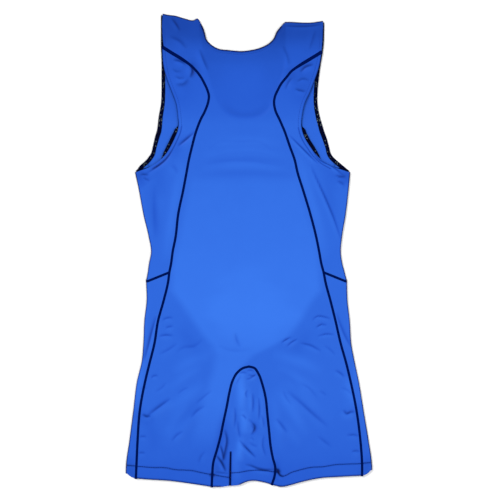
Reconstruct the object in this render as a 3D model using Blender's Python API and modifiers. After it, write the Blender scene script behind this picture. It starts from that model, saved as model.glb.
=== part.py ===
"""A weightlifting singlet laid flat on a surface, with its back upwards.

Sizes are in millimetres until a mesh is made, and in metres from there on. Across runs along +X, the
shoulders lie towards +Y and the surface is at Z = 0. A place on the garment is a pair: its distance across
from the middle line, and its distance down from the top of the left shoulder.
Each piece is an open surface, the outer face of its cloth, with the wall added inwards by Solidify.
"""

import math
from collections import namedtuple

import bmesh
import bpy
import numpy as np

METRE = 0.001

# Driving sizes
LENGTH = 850.0
CLOTH = 1.1
TAPE = 1.0
CLEARANCE = 0.3
TAPE_LAYERS_APART = 0.5
SEAM_GAP = 0.3
FRONT_SEAM_INSET = 30.0
SHOULDER_UNDER = 8.0
SLIT_HALF_WIDTH = 0.25
ARMHOLE_TAPE_WIDTH = 7.5
NECK_TAPE_WIDTH = 7.0
ARMHOLE_TAPE_PROUD = 1.2
NECK_TAPE_PROUD = 1.5
TAPE_TURN_INSET = 0.6
HEM_DEPTH = 22.0
HEM_STEP = 0.7
HEM_STEP_RUN = 4.0

# Worked out: the layers as they lie on each other, and the round folds that join them
HEIGHT = 2.0 * (CLOTH + CLEARANCE + TAPE) + TAPE_LAYERS_APART
FOLD_RADIUS = HEIGHT / 2.0
TAPE_TURN_RADIUS = FOLD_RADIUS - CLOTH - CLEARANCE
TAPE_LOW = CLOTH + CLEARANCE
TAPE_HIGH = HEIGHT - CLOTH - CLEARANCE

# The body and legs: a row for each level, with the outer folds and the two long back seams
Level = namedtuple("Level", "down side_left seam_left seam_right side_right")
BODY = [
    Level(835, -222, -203, 203, 222),
    Level(810, -221, -202, 203, 221),
    Level(767, -215, -200, 200, 215),
    Level(713, -208, -196, 193, 206),
    Level(659, -201, -186, 182, 197),
    Level(626, -193, -178, 174, 190),
    Level(594, -190, -170, 165, 184),
    Level(551, -188, -163, 155, 181),
    Level(515, -184, -153, 146, 177),
    Level(481, -185, -145, 137, 176),
    Level(465, -182, -143, 134, 172),
    Level(450, -180, -140, 130, 168),
    Level(428, -176, -137, 126, 165),
    Level(403, -180, -132, 121, 167),
    Level(360, -190, -127, 110, 174),
    Level(317, -198, -118, 97, 179),
    Level(285, -205, -112, 87, 182),
]

# The long back seams above the underarm, where they curve out to the straps
Yoke = namedtuple("Yoke", "down seam_left seam_right")
YOKE = [
    Yoke(263, -108, 82),
    Yoke(238, -102, 73),
    Yoke(212, -95, 64),
    Yoke(191, -87, 55),
    Yoke(173, -78, 47),
    Yoke(158, -73, 45),
    Yoke(148, -72, 47),
    Yoke(137, -75, 52),
    Yoke(126, -80, 58),
    Yoke(115, -86, 67),
    Yoke(104, -94, 76),
    Yoke(94, -104, 90),
    Yoke(83, -119, 110),
    Yoke(72, -137, 125),
    Yoke(64, -150, 129),
]

# The armhole edges of the front and the back, and how far the tape stands out of the back edge
Armhole = namedtuple("Armhole", "down front_left back_left back_right front_right tape_out")
ARMHOLES = [
    Armhole(285, -202, -202, 179, 179, 1.2),
    Armhole(274, -195, -175, 148, 168, 1.2),
    Armhole(258, -179, -154, 123, 150, 3.6),
    Armhole(241, -172, -142, 109, 143, 6.0),
    Armhole(223, -168, -133, 99, 138, 6.4),
    Armhole(207, -164, -127, 95, 133, 5.4),
    Armhole(191, -162, -127, 94, 127, 1.4),
    Armhole(162, -157, -131, 100, 122, 1.2),
    Armhole(140, -156, -139, 110, 122, 1.2),
    Armhole(119, -156, -147, 118, 124, 1.2),
    Armhole(90, -156, -154, 127, 128, 1.2),
    Armhole(58, -157, -156, 132, 133, 1.2),
    Armhole(29, -157, -156, 133, 134, 1.2),
]

# The neck edges of the back and of the lower front, from the middle out to each shoulder
Neck = namedtuple("Neck", "left_across left_down right_across right_down")
NECK_CORNER_ROW = 4
BACK_NECK = [
    Neck(-12, 68, -12, 68),
    Neck(-38, 66, 5, 66),
    Neck(-54, 64, 23, 61),
    Neck(-67, 57, 36, 54),
    Neck(-76, 48, 44, 46),
    Neck(-80, 34, 50, 33),
    Neck(-85, 21, 57, 24),
]
FRONT_NECK = [
    Neck(-5, 188, -5, 188),
    Neck(-27, 186, 16, 186),
    Neck(-45, 176, 33, 175),
    Neck(-57, 157, 44, 155),
    Neck(-67, 128, 55, 126),
    Neck(-76, 97, 63, 97),
    Neck(-84, 58, 66, 58),
    Neck(-89, 29, 66, 34),
]

# The shoulder edges, where the straps turn over, from the armhole to the neck
Point = namedtuple("Point", "across down")
SHOULDER = {
    "left": [Point(-155, 0), Point(-147, 2), Point(-132, 4), Point(-115, 9), Point(-100, 12), Point(-92, 9),
             Point(-89, 12)],
    "right": [Point(133, 13), Point(127, 14), Point(113, 16), Point(92, 16), Point(76, 15), Point(64, 15)],
}

# The arch seam of the gusset, from the hem up to its top
Arch = namedtuple("Arch", "left_across left_down right_across right_down")
ARCH = [
    Arch(-67, 850, 41, 846),
    Arch(-66, 829, 46, 830),
    Arch(-64, 806, 47, 814),
    Arch(-58, 785, 43, 799),
    Arch(-52, 763, 39, 778),
    Arch(-46, 734, 36, 749),
    Arch(-40, 706, 33, 720),
    Arch(-35, 680, 30, 691),
    Arch(-30, 661, 24, 666),
    Arch(-22, 646, 17, 647),
    Arch(-11, 637, 10, 637),
]
ARCH_TOP = Point(0, 634)
SLIT_ROW = 3
SLIT_TOP = Point(-32, 788)
SLIT_BOTTOM = Point(-33, 848)

# The leg hems, from the long seam in to the arch seam, and the gusset's hem on each side of the slit
HEM = {
    "left": [Point(-203, 835), Point(-178, 837), Point(-146, 839), Point(-106, 844), Point(-67, 850)],
    "right": [Point(203, 830), Point(164, 832), Point(124, 835), Point(92, 842), Point(74, 847),
              Point(58, 850), Point(41, 846)],
}
GUSSET_HEM = {
    "left": [Point(-67, 850), Point(-52, 850)],
    "right": [Point(41, 846), Point(23, 841), Point(7, 839), Point(-5, 841), Point(-16, 846)],
}
HEM_AT_FOLD = {"left": 826.0, "right": 820.0}
HEM_CORNER_SHARE = 0.7

# The leg hems' lower edge as one line, from which their turned-up depth is taken
HEM_EDGE = [Point(-222, 830), Point(-67, 850), Point(-33, 848), Point(7, 840), Point(58, 849),
            Point(222, 822)]

# The cross seams at the hips: how far down they meet the long seams, and the fold at the side
CROSS_SEAM_DOWN = 465.0
CROSS_FOLD_DOWN = 481.0
UNDERARM_DOWN = 285.0
UNDERARM_TAPE_DOWN = (284.0, 292.0)
YOKE_TURN_DOWN = 148.0
FOLD_LEVEL_GAP = 5.0
FRONT_SEAM_TOP = {"left": Point(-185, 264), "right": Point(157, 264)}

# Cells along the borders that two pieces share, so that both have the same corners there
LEG_CELLS = 20
WAIST_CELLS = 11
YOKE_CELLS = 8
BULGE_CELLS = 9
STRAP_CELLS = 4
FRONT_ARMHOLE_CELLS = 12
INNER_LEG_CELLS = 4
SLIT_END_CELLS = 2
ARCH_CELLS = 7
CROWN_CELLS = 2
GUSSET_CELLS = INNER_LEG_CELLS + SLIT_END_CELLS + ARCH_CELLS + CROWN_CELLS
CROWN_PARTS = {"left": 2, "right": 3}
BACK_COLUMNS = 9
FRONT_COLUMNS = 5
SIDE_COLUMNS = 5
LEG_SIDE_COLUMNS = 3
UNDER_COLUMNS = 2
FOLD_CELLS = 6
ARMHOLE_TAPE_FRONT_CELLS = 28
ARMHOLE_TAPE_BACK_CELLS = 30
NECK_TAPE_BACK_CELLS = 26
NECK_TAPE_FRONT_CELLS = 34
SHOULDER_SAMPLES = 9

# Broad swells of the upper layer: where each is, how far it reaches and its height
Swell = namedtuple("Swell", "across down reach_across reach_down height")
SWELLS = [
    Swell(-14, 300, 70, 150, -1.2),
    Swell(-8, 520, 46, 110, -1.0),
    Swell(-98, 560, 62, 90, 0.7),
    Swell(92, 566, 62, 90, 0.7),
    Swell(-130, 740, 44, 90, -0.8),
    Swell(118, 740, 46, 90, -0.8),
    Swell(0, 730, 24, 60, -0.7),
]

# The largest folds of the upper layer: the two ends, the half width and the height of each
Fold = namedtuple("Fold", "across down to_across to_down half_width height")
FOLDS = [
    Fold(-192, 724, -138, 692, 11, 1.5),
    Fold(-140, 771, -88, 713, 11, 1.3),
    Fold(-134, 608, -100, 597, 12, 1.0),
    Fold(73, 679, 131, 733, 12, 1.5),
    Fold(46, 735, 68, 766, 10, 1.2),
    Fold(150, 716, 190, 716, 10, 1.2),
    Fold(108, 278, 140, 337, 12, 1.3),
    Fold(140, 337, 164, 412, 12, 1.2),
    Fold(118, 578, 160, 576, 11, 1.0),
    Fold(-98, 210, -124, 240, 10, 1.3),
    Fold(68, 218, 104, 249, 10, 1.3),
    Fold(-26, 574, -16, 600, 9, -1.0),
    Fold(17, 690, 16, 740, 8, 1.2),
    Fold(-29, 706, -36, 760, 8, 1.0),
]
TAPER_POWER = 0.7
FADE = 14.0
NECK_FADE_DOWN = 84.0

# Finishes: the colour, the roughness and the sheen of each
Finish = namedtuple("Finish", "color roughness sheen")
BLUE_JERSEY = Finish((0.022, 0.150, 0.800), 0.5, 0.3)
BLACK_ELASTIC = Finish((0.010, 0.012, 0.016), 0.7, 0.1)

SIGN = {"left": -1.0, "right": 1.0}
MERGE = 0.02 * METRE
LEVEL_FACE = 0.9


# Curves and patches in the plane

def smooth(points, spans):
    """Points at even steps along the smooth curve through the given points.

    Each pair in spans is the index of a given point and the number of cells that end there.
    """
    knots = np.array(points, float)
    run = np.concatenate(([0.0], np.cumsum(np.linalg.norm(np.diff(knots, axis=0), axis=1))))
    slope = np.gradient(knots, run, axis=0)
    starts = [0] + [last for last, _ in spans[:-1]]
    steps = [np.linspace(run[a], run[b], cells, endpoint=False) for a, (b, cells) in zip(starts, spans)]
    at = np.concatenate(steps + [[run[spans[-1][0]]]])
    i = np.clip(np.searchsorted(run, at, side="right") - 1, 0, len(run) - 2)
    span = (run[i + 1] - run[i])[:, None]
    f = (at - run[i])[:, None] / span
    ease = f * f * (3.0 - 2.0 * f)
    leave = f * (1.0 - f) ** 2 * span
    arrive = f * f * (f - 1.0) * span
    return (1.0 - ease) * knots[i] + ease * knots[i + 1] + leave * slope[i] + arrive * slope[i + 1]


def even(points, cells):
    """Points at even steps along one smooth curve."""
    return smooth(points, [(len(points) - 1, cells)])


def chain(*curves):
    """Curves joined end to start."""
    return np.concatenate([curves[0]] + [curve[1:] for curve in curves[1:]])


def push(curve, distance):
    """A curve moved sideways by a distance, or by one for each point: towards +across where it runs up."""
    along = np.gradient(curve, axis=0)
    along /= np.linalg.norm(along, axis=1)[:, None]
    side = np.stack([-along[:, 1], along[:, 0]], axis=1)
    return curve + side * np.broadcast_to(distance, len(curve))[:, None]


def patch(outer, inner, bottom, top):
    """A grid between four border curves: rows run from bottom to top, columns from outer to inner."""
    v = np.linspace(0.0, 1.0, len(outer))[:, None, None]
    u = np.linspace(0.0, 1.0, len(bottom))[None, :, None]
    sides = (1.0 - u) * outer[:, None] + u * inner[:, None]
    ends = (1.0 - v) * bottom[None, :] + v * top[None, :]
    corners = ((1.0 - u) * (1.0 - v) * outer[0] + u * (1.0 - v) * inner[0]
               + (1.0 - u) * v * outer[-1] + u * v * inner[-1])
    return sides + ends - corners


def straight(start, end, cells):
    """Points at even steps from one place to another."""
    t = np.linspace(0.0, 1.0, cells + 1)[:, None]
    return (1.0 - t) * np.array(start, float) + t * np.array(end, float)


# Heights

def ease(value):
    """A soft step from 0 to 1."""
    value = np.clip(value, 0.0, 1.0)
    return value * value * (3.0 - 2.0 * value)


def by_level(table, column, down):
    """A column of a table read at any distance down."""
    rows = sorted(table, key=lambda row: row.down)
    return np.interp(down, [row.down for row in rows], [getattr(row, column) for row in rows])


def room_to_edge(across, down):
    """How far a place on the upper layer is from the nearest fold or open edge, except the hems."""
    low = down > UNDERARM_DOWN
    left = np.where(low, by_level(BODY, "side_left", down), by_level(ARMHOLES, "back_left", down))
    right = np.where(low, by_level(BODY, "side_right", down), by_level(ARMHOLES, "back_right", down))
    slit = np.abs(across - SLIT_TOP.across) - FOLD_RADIUS - SLIT_HALF_WIDTH
    above_slit = np.maximum(SLIT_TOP.down - down, 0.0)
    room = np.minimum(np.minimum(across - left, right - across), down - NECK_FADE_DOWN)
    return np.minimum(room, np.hypot(np.maximum(slit, 0.0), above_slit) - FOLD_RADIUS)


def relief(across, down):
    """Height of the upper layer's swells, folds and turned-up hems over the flat cloth."""
    rise = np.zeros_like(across)
    for swell in SWELLS:
        far_across = (across - swell.across) / swell.reach_across
        far_down = (down - swell.down) / swell.reach_down
        rise += swell.height * np.exp(-far_across ** 2 - far_down ** 2)
    for fold in FOLDS:
        run = np.array([fold.to_across - fold.across, fold.to_down - fold.down])
        length = np.linalg.norm(run)
        along = ((across - fold.across) * run[0] + (down - fold.down) * run[1]) / length
        beside = ((across - fold.across) * run[1] - (down - fold.down) * run[0]) / length
        taper = np.sin(math.pi * np.clip(along / length, 0.0, 1.0)) ** TAPER_POWER
        rise += fold.height * taper * np.exp(-(beside / fold.half_width) ** 2)
    rise *= ease(room_to_edge(across, down) / FADE)
    return rise + HEM_STEP * hem_zone(across, down)


def hem_zone(across, down):
    """1 on the turned-up hem and 0 above it, with a short step at its stitched edge."""
    edge = np.interp(across, [point.across for point in HEM_EDGE], [point.down for point in HEM_EDGE])
    return ease((down - edge + HEM_DEPTH) / HEM_STEP_RUN + 0.5)


def solid_points(grid, height):
    """A flat grid of places as points in space, in millimetres."""
    across, down = grid[..., 0], grid[..., 1]
    height = np.broadcast_to(height, across.shape)
    return np.stack([across, LENGTH / 2.0 - down, height], axis=-1)


def upper(grid):
    """The upper layer's outer face over a grid of places."""
    return solid_points(grid, HEIGHT + relief(grid[..., 0], grid[..., 1]))


def lower(grid):
    """The lower layer's outer face, which lies on the surface."""
    return solid_points(grid, 0.0)


def turn(start, bulge):
    """A round fold from the upper layer to the lower one, with a column for each step round it.

    start holds the places where the upper layer ends, and bulge the way that the fold stands out there. The
    fold starts as high as the upper layer is, and ends on the surface.
    """
    angle = np.linspace(0.0, math.pi, FOLD_CELLS + 1)[None, :]
    out = FOLD_RADIUS * np.sin(angle)[..., None] * np.broadcast_to(bulge, start.shape)[:, None]
    top = HEIGHT + relief(start[:, 0], start[:, 1])[:, None]
    return solid_points(start[:, None] + out, top * (1.0 + np.cos(angle)) / 2.0)


# Border curves, each sampled once for the pieces on both of its sides

def column(table, name):
    """The places that one column of a table gives."""
    return [Point(getattr(row, name), row.down) for row in table]


def half_line(table, side):
    """The places that a table with left and right columns gives on one side."""
    return [Point(getattr(row, side + "_across"), getattr(row, side + "_down")) for row in table]


def neck_line(table):
    """A neck edge from its end at the left shoulder to its end at the right one."""
    return half_line(table, "left")[::-1] + half_line(table, "right")[1:]


def through(points, stops):
    """A smooth curve through points; stops lists the levels where spans end, with the cells of each."""
    downs = [point.down for point in points]
    return smooth(points, [(downs.index(down), cells) for down, cells in stops])


def seam(side):
    """The long back seam from the hem up to the strap."""
    points = column(BODY + YOKE, "seam_" + side)
    points[0] = HEM[side][0]
    return through(points, [(CROSS_SEAM_DOWN, LEG_CELLS), (UNDERARM_DOWN, WAIST_CELLS),
                            (YOKE_TURN_DOWN, YOKE_CELLS), (YOKE[-1].down, BULGE_CELLS)])


def front_seam(side):
    """The front side seam from the hem up to the armhole, a fixed distance in from the fold."""
    inset = SIGN[side] * FRONT_SEAM_INSET
    points = [Point(point.across - inset, point.down) for point in column(BODY, "side_" + side)]
    points[0] = Point(points[0].across, HEM[side][0].down)
    points.append(FRONT_SEAM_TOP[side])
    return through(points, [(CROSS_SEAM_DOWN, LEG_CELLS), (FRONT_SEAM_TOP[side].down, WAIST_CELLS)])


def arch(side):
    """The arch seam from the hem up to its top."""
    crown = len(ARCH) - 1
    stops = [(SLIT_ROW, INNER_LEG_CELLS), (crown, SLIT_END_CELLS + ARCH_CELLS), (crown + 1, CROWN_CELLS)]
    return smooth(half_line(ARCH, side) + [ARCH_TOP], stops)


def beside_arch(side, gap):
    """The arch seam moved off its line, out of the gusset for a positive gap."""
    moved = push(arch(side), gap * SIGN[side])
    moved[-1] = (ARCH_TOP.across, ARCH_TOP.down - gap)
    return moved


def shoulder(side, cells):
    """Where the upper layer starts to turn over the shoulder, from the armhole to the neck."""
    return even([Point(point.across, point.down + FOLD_RADIUS) for point in SHOULDER[side]], cells)


def shoulder_seam(side, under, columns):
    """The straight seam under the shoulder, where the back's strap meets the front's."""
    ends = SHOULDER[side][0], SHOULDER[side][-1]
    return straight(*[Point(end.across, end.down + FOLD_RADIUS + under) for end in ends], columns)


def neck(table, side, end, stops):
    """A neck edge from the middle out to its end at the shoulder."""
    return smooth(half_line(table, side) + [end], stops)


def side_fold(side, first, last, cells):
    """Where the upper layer starts to turn under at a side, between two levels, from the lower one up."""
    inset = SIGN[side] * FOLD_RADIUS
    near = FOLD_LEVEL_GAP
    levels = [first] + [row.down for row in BODY if last + near < row.down < first - near] + [last]
    return even([Point(by_level(BODY, "side_" + side, down) - inset, down) for down in levels], cells)


def finer(line, times):
    """A line with each of its straight steps cut into equal parts."""
    return np.array([line[i] + (line[i + 1] - line[i]) * part / times
                     for i in range(len(line) - 1) for part in range(times)] + [line[-1]])


# Pieces

def collection(name):
    """A new collection in the scene."""
    made = bpy.data.collections.new(name)
    bpy.context.scene.collection.children.link(made)
    return made


def material(name, finish):
    """A cloth material."""
    made = bpy.data.materials.new(name)
    made.use_nodes = True
    shader = made.node_tree.nodes["Principled BSDF"]
    shader.inputs["Base Color"].default_value = (*finish.color, 1.0)
    shader.inputs["Roughness"].default_value = finish.roughness
    shader.inputs["Metallic"].default_value = 0.0
    shader.inputs["Sheen Weight"].default_value = finish.sheen
    made.diffuse_color = (*finish.color, 1.0)
    return made


def cloth(name, grids, wall, finish, home, faces_up=True):
    """One piece of cloth: grids that share their borders, joined and given a wall inwards.

    The highest face looks up, or the lowest one down, which settles the outer side of the whole piece.
    """
    shape = bmesh.new()
    for grid in grids:
        rows, columns = grid.shape[:2]
        verts = [shape.verts.new(point * METRE) for point in grid.reshape(-1, 3)]
        for r in range(rows - 1):
            for c in range(columns - 1):
                first = r * columns + c
                corners = (first, first + 1, first + columns + 1, first + columns)
                shape.faces.new([verts[i] for i in corners])
    bmesh.ops.remove_doubles(shape, verts=shape.verts, dist=MERGE)
    bmesh.ops.recalc_face_normals(shape, faces=shape.faces)
    shape.normal_update()
    flat = [face for face in shape.faces if abs(face.normal.z) > LEVEL_FACE]
    marker = max(flat, key=lambda face: face.calc_center_median().z * (1.0 if faces_up else -1.0))
    if (marker.normal.z > 0.0) != faces_up:
        bmesh.ops.reverse_faces(shape, faces=shape.faces)
    mesh = bpy.data.meshes.new(name)
    shape.to_mesh(mesh)
    shape.free()
    mesh.materials.append(finish)
    mesh.shade_smooth()
    piece = bpy.data.objects.new(name, mesh)
    home.objects.link(piece)
    shell = piece.modifiers.new("wall", "SOLIDIFY")
    shell.thickness = wall * METRE
    shell.offset = -1.0
    shell.use_even_offset = True
    shell.use_rim = True
    return piece


def back_half(side):
    """The centre back on one side of the middle line, with its strap turned over the shoulder."""
    line = push(seam(side), -SIGN[side] * SEAM_GAP / 2.0)
    top = shoulder(side, BACK_COLUMNS)
    strap_edge = column(ARMHOLES[-1:], "back_" + side)
    outer = chain(line, even([line[-1]] + strap_edge + [top[0]], STRAP_CELLS))
    edge = beside_arch(side, SEAM_GAP / 2.0)
    stops = [(NECK_CORNER_ROW, BULGE_CELLS), (len(BACK_NECK), STRAP_CELLS)]
    neck_edge = neck(BACK_NECK, side, top[-1], stops)
    middle = straight(edge[-1], neck_edge[0], LEG_CELLS + WAIST_CELLS + YOKE_CELLS - GUSSET_CELLS)
    inner = chain(edge, middle, neck_edge)
    hem = even([outer[0]] + HEM[side][1:-1] + [inner[0]], BACK_COLUMNS)
    under = np.stack([top, shoulder_seam(side, SHOULDER_UNDER, BACK_COLUMNS)], axis=1)
    return [upper(patch(outer, inner, hem, top)), turn(top, (0.0, -1.0)), lower(under)]


def front_half(side):
    """The centre front on one side of the middle line, flat on the surface."""
    line = push(front_seam(side), -SIGN[side] * SEAM_GAP / 2.0)
    top = shoulder_seam(side, SHOULDER_UNDER + SEAM_GAP, FRONT_COLUMNS)
    armhole = column(ARMHOLES[2:], "front_" + side)
    outer = chain(line, even([line[-1]] + armhole + [top[0]], FRONT_ARMHOLE_CELLS))
    edge = beside_arch(side, SEAM_GAP / 2.0)
    neck_edge = neck(FRONT_NECK, side, top[-1], [(len(FRONT_NECK), FRONT_ARMHOLE_CELLS)])
    inner = chain(edge, straight(edge[-1], neck_edge[0], LEG_CELLS + WAIST_CELLS - GUSSET_CELLS), neck_edge)
    hem = even([outer[0]] + HEM[side][2:-1] + [inner[0]], FRONT_COLUMNS)
    return [lower(patch(outer, inner, hem, top))]


def side_panel(side, fold_start, outer, inner, front_edge, bottom):
    """A side panel: its face on the upper layer, the round fold at the side, and its part under the fold.

    outer and inner are the face's two borders and bottom its lower end.
    """
    face = patch(outer, inner, bottom, straight(outer[-1], inner[-1], len(bottom) - 1))
    under = patch(fold_start, front_edge, straight(fold_start[0], front_edge[0], UNDER_COLUMNS),
                  straight(fold_start[-1], front_edge[-1], UNDER_COLUMNS))
    return [upper(face), turn(fold_start, (SIGN[side], 0.0)), lower(under)]


def side_upper(side):
    """The side panel above the hip: from the strap down round the armhole, and under to the front seam."""
    gap = SEAM_GAP / 2.0
    fold_start = side_fold(side, CROSS_FOLD_DOWN - gap, UNDERARM_DOWN, WAIST_CELLS)
    tip_down = YOKE[-1].down
    tip = Point(by_level(ARMHOLES, "back_" + side, tip_down), tip_down)
    edge_points = [fold_start[-1]] + column(ARMHOLES[1:-2], "back_" + side) + [tip]
    armhole = even(edge_points, YOKE_CELLS + BULGE_CELLS)
    inner = push(seam(side)[LEG_CELLS:], gap * SIGN[side])
    front_edge = push(front_seam(side)[LEG_CELLS:], gap * SIGN[side])
    for edge in (inner, front_edge):
        edge[0, 1] -= gap
    bottom = straight(fold_start[0], inner[0], SIDE_COLUMNS)
    return side_panel(side, fold_start, chain(fold_start, armhole), inner, front_edge, bottom)


def side_lower(side):
    """The side panel below the hip: down the outer leg, from the back seam round to the front seam."""
    gap = SEAM_GAP / 2.0
    fold_start = side_fold(side, HEM_AT_FOLD[side], CROSS_FOLD_DOWN + gap, LEG_CELLS)
    inner = push(seam(side)[:LEG_CELLS + 1], gap * SIGN[side])
    front_edge = push(front_seam(side)[:LEG_CELLS + 1], gap * SIGN[side])
    for edge in (inner, front_edge):
        edge[-1, 1] += gap
    corner_down = HEM_CORNER_SHARE * HEM[side][0].down + (1.0 - HEM_CORNER_SHARE) * HEM_AT_FOLD[side]
    corner = Point((fold_start[0, 0] + inner[0, 0]) / 2.0, corner_down)
    hem = even([fold_start[0], corner, inner[0]], LEG_SIDE_COLUMNS)
    return side_panel(side, fold_start, fold_start, inner, front_edge, hem)


def gusset_half(side):
    """The gusset on one side of the slit: the arch above, the round inner leg, and the arch below."""
    sign = SIGN[side]
    crown_parts = CROWN_PARTS[side]
    rim = SLIT_HALF_WIDTH + FOLD_RADIUS
    leg = straight(Point(SLIT_BOTTOM.across + sign * rim, SLIT_BOTTOM.down),
                   Point(SLIT_TOP.across + sign * rim, SLIT_TOP.down), INNER_LEG_CELLS)
    angle = np.linspace(0.0, math.pi / 2.0, SLIT_END_CELLS + 1)[:, None]
    spoke = np.concatenate([sign * np.cos(angle), -np.sin(angle)], axis=1)
    fold_start = chain(leg, np.array(SLIT_TOP) + rim * spoke)
    bulge = np.concatenate([np.tile([-sign, 0.0], (INNER_LEG_CELLS, 1)), -spoke])
    edge = beside_arch(side, -SEAM_GAP / 2.0)
    outer = edge[:GUSSET_CELLS - CROWN_CELLS + 1]
    inner = chain(fold_start, straight(fold_start[-1], edge[-1], ARCH_CELLS))
    hem = even([outer[0]] + GUSSET_HEM[side][1:] + [inner[0]], CROWN_CELLS * crown_parts)
    sheet = patch(outer, inner, hem, finer(edge[-CROWN_CELLS - 1:], crown_parts))
    return [upper(sheet), turn(fold_start, bulge), lower(sheet)]


def strip(edge, width, proud, cloth_side, height):
    """A tape along a cloth edge: its outer line stands proud of the edge, its inner line lies on the cloth."""
    outer = push(edge, -cloth_side * np.broadcast_to(proud, len(edge)))
    inner = push(edge, cloth_side * (width - np.broadcast_to(proud, len(edge))))
    return solid_points(np.stack([outer, inner], axis=1), height)


def tape_turn(first, last, bulge):
    """Rows that carry a tape round inside a fold, from its row on one layer to its row on the other."""
    angle = np.linspace(0.0, math.pi, FOLD_CELLS + 1)[1:-1][:, None, None]
    mix = (1.0 - np.cos(angle)) / 2.0
    middle = (1.0 - mix) * first[None] + mix * last[None]
    rising = np.sign(last[0, 2] - first[0, 2])
    middle[..., 2] = HEIGHT / 2.0 - rising * TAPE_TURN_RADIUS * np.cos(angle[..., 0])
    return middle + TAPE_TURN_RADIUS * np.sin(angle) * np.array([*bulge, 0.0])


def ring(rows):
    """Rows of points closed into a loop."""
    return np.concatenate(rows + [rows[0][:1]])


def shoulder_row(side, row):
    """A tape's end row set straight across under the shoulder fold."""
    points = sorted(SHOULDER[side])
    spread = np.linspace(row[0, 0], row[-1, 0], SHOULDER_SAMPLES)
    lowest = np.interp(spread, [point.across for point in points], [point.down for point in points]).max()
    row = row.copy()
    row[:, 1] = LENGTH / 2.0 - (lowest + FOLD_RADIUS + TAPE_TURN_INSET)
    return row


def underarm_row(side, row, height):
    """A tape's end row set along the side fold at the underarm."""
    down = np.array(UNDERARM_TAPE_DOWN)
    fold_at = by_level(BODY, "side_" + side, np.maximum(down, UNDERARM_DOWN))
    row = row.copy()
    row[:, 0] = fold_at - SIGN[side] * (FOLD_RADIUS + TAPE_TURN_INSET)
    row[:, 1] = LENGTH / 2.0 - down
    row[:, 2] = height
    return row


def armhole_tape(side):
    """The elastic round one armhole, inside the cloth: down the front, round the underarm, up the back."""
    sign = SIGN[side]
    rows = ARMHOLES[1:]
    front_edge = even(column(rows, "front_" + side)[::-1], ARMHOLE_TAPE_FRONT_CELLS)
    back_edge = even(column(rows, "back_" + side), ARMHOLE_TAPE_BACK_CELLS)
    proud = by_level(rows, "tape_out", back_edge[:, 1])
    down_front = strip(front_edge, ARMHOLE_TAPE_WIDTH, ARMHOLE_TAPE_PROUD, sign, TAPE_LOW)
    up_back = strip(back_edge, ARMHOLE_TAPE_WIDTH, proud, -sign, TAPE_HIGH)
    top_front = shoulder_row(side, down_front[0])
    top_back = shoulder_row(side, up_back[-1])
    first_under = underarm_row(side, down_front[-1], TAPE_LOW)
    last_under = underarm_row(side, down_front[-1], TAPE_HIGH)
    round_arm = tape_turn(first_under, last_under, (sign, 0.0))
    round_top = tape_turn(top_back, top_front, (0.0, 1.0))
    return [ring([top_front[None], down_front, first_under[None], round_arm, last_under[None], up_back,
                  top_back[None], round_top])]


def neck_tape():
    """The elastic all round the neck, inside the cloth: across the back, and round the lower front."""
    back_edge = even(neck_line(BACK_NECK), NECK_TAPE_BACK_CELLS)
    front_edge = even(neck_line(FRONT_NECK), NECK_TAPE_FRONT_CELLS)
    across_back = strip(back_edge, NECK_TAPE_WIDTH, NECK_TAPE_PROUD, 1.0, TAPE_HIGH)
    across_front = strip(front_edge, NECK_TAPE_WIDTH, NECK_TAPE_PROUD, 1.0, TAPE_LOW)
    left_back = shoulder_row("left", across_back[0])
    right_back = shoulder_row("right", across_back[-1])
    left_front = shoulder_row("left", across_front[0])
    right_front = shoulder_row("right", across_front[-1])
    right_turn = tape_turn(right_back, right_front, (0.0, 1.0))
    left_turn = tape_turn(left_front, left_back, (0.0, 1.0))
    return [ring([left_back[None], across_back, right_back[None], right_turn, right_front[None],
                  across_front[::-1], left_front[None], left_turn])]


def main():
    for thing in list(bpy.data.objects):
        bpy.data.objects.remove(thing, do_unlink=True)
    home = collection("singlet")
    blue = material("blue_jersey", BLUE_JERSEY)
    black = material("black_elastic", BLACK_ELASTIC)
    cloth("back_panel", back_half("left") + back_half("right"), CLOTH, blue, home)
    cloth("front_panel", front_half("left") + front_half("right"), CLOTH, blue, home, faces_up=False)
    for side in ("left", "right"):
        cloth("side_upper_" + side, side_upper(side), CLOTH, blue, home)
        cloth("side_lower_" + side, side_lower(side), CLOTH, blue, home)
        cloth("armhole_tape_" + side, armhole_tape(side), TAPE, black, home)
    cloth("gusset", gusset_half("left") + gusset_half("right"), CLOTH, blue, home)
    cloth("neck_tape", neck_tape(), TAPE, black, home)


main()
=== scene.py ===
"""A lifting singlet laid flat with its back upwards: its cloth, its seams, its tapes and its stage.

Sizes are in millimetres until a mesh is made. A place on the garment is a pair: its distance across from the
middle line, and its distance down from the top of the left shoulder. The upper layer is the back of the
garment and the lower layer is the front, which lies on the surface at height 0.
"""

import math
from collections import namedtuple

import bpy
import numpy as np
from bpy.props import FloatProperty, FloatVectorProperty, PointerProperty
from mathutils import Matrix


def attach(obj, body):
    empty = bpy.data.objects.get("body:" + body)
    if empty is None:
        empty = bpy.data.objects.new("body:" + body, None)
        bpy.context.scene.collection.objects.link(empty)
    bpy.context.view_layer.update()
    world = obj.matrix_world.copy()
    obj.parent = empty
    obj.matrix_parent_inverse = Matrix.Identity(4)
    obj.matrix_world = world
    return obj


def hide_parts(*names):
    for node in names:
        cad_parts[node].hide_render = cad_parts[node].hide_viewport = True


bl_info = {
    "name": "Lifting Singlet",
    "version": (1, 0, 0),
    "blender": (4, 5, 0),
    "location": "View3D > Sidebar > Singlet",
    "description": "Makes a lifting singlet that lies flat, with its seams, tapes, creases and stage",
    "category": "Object",
}

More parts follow.
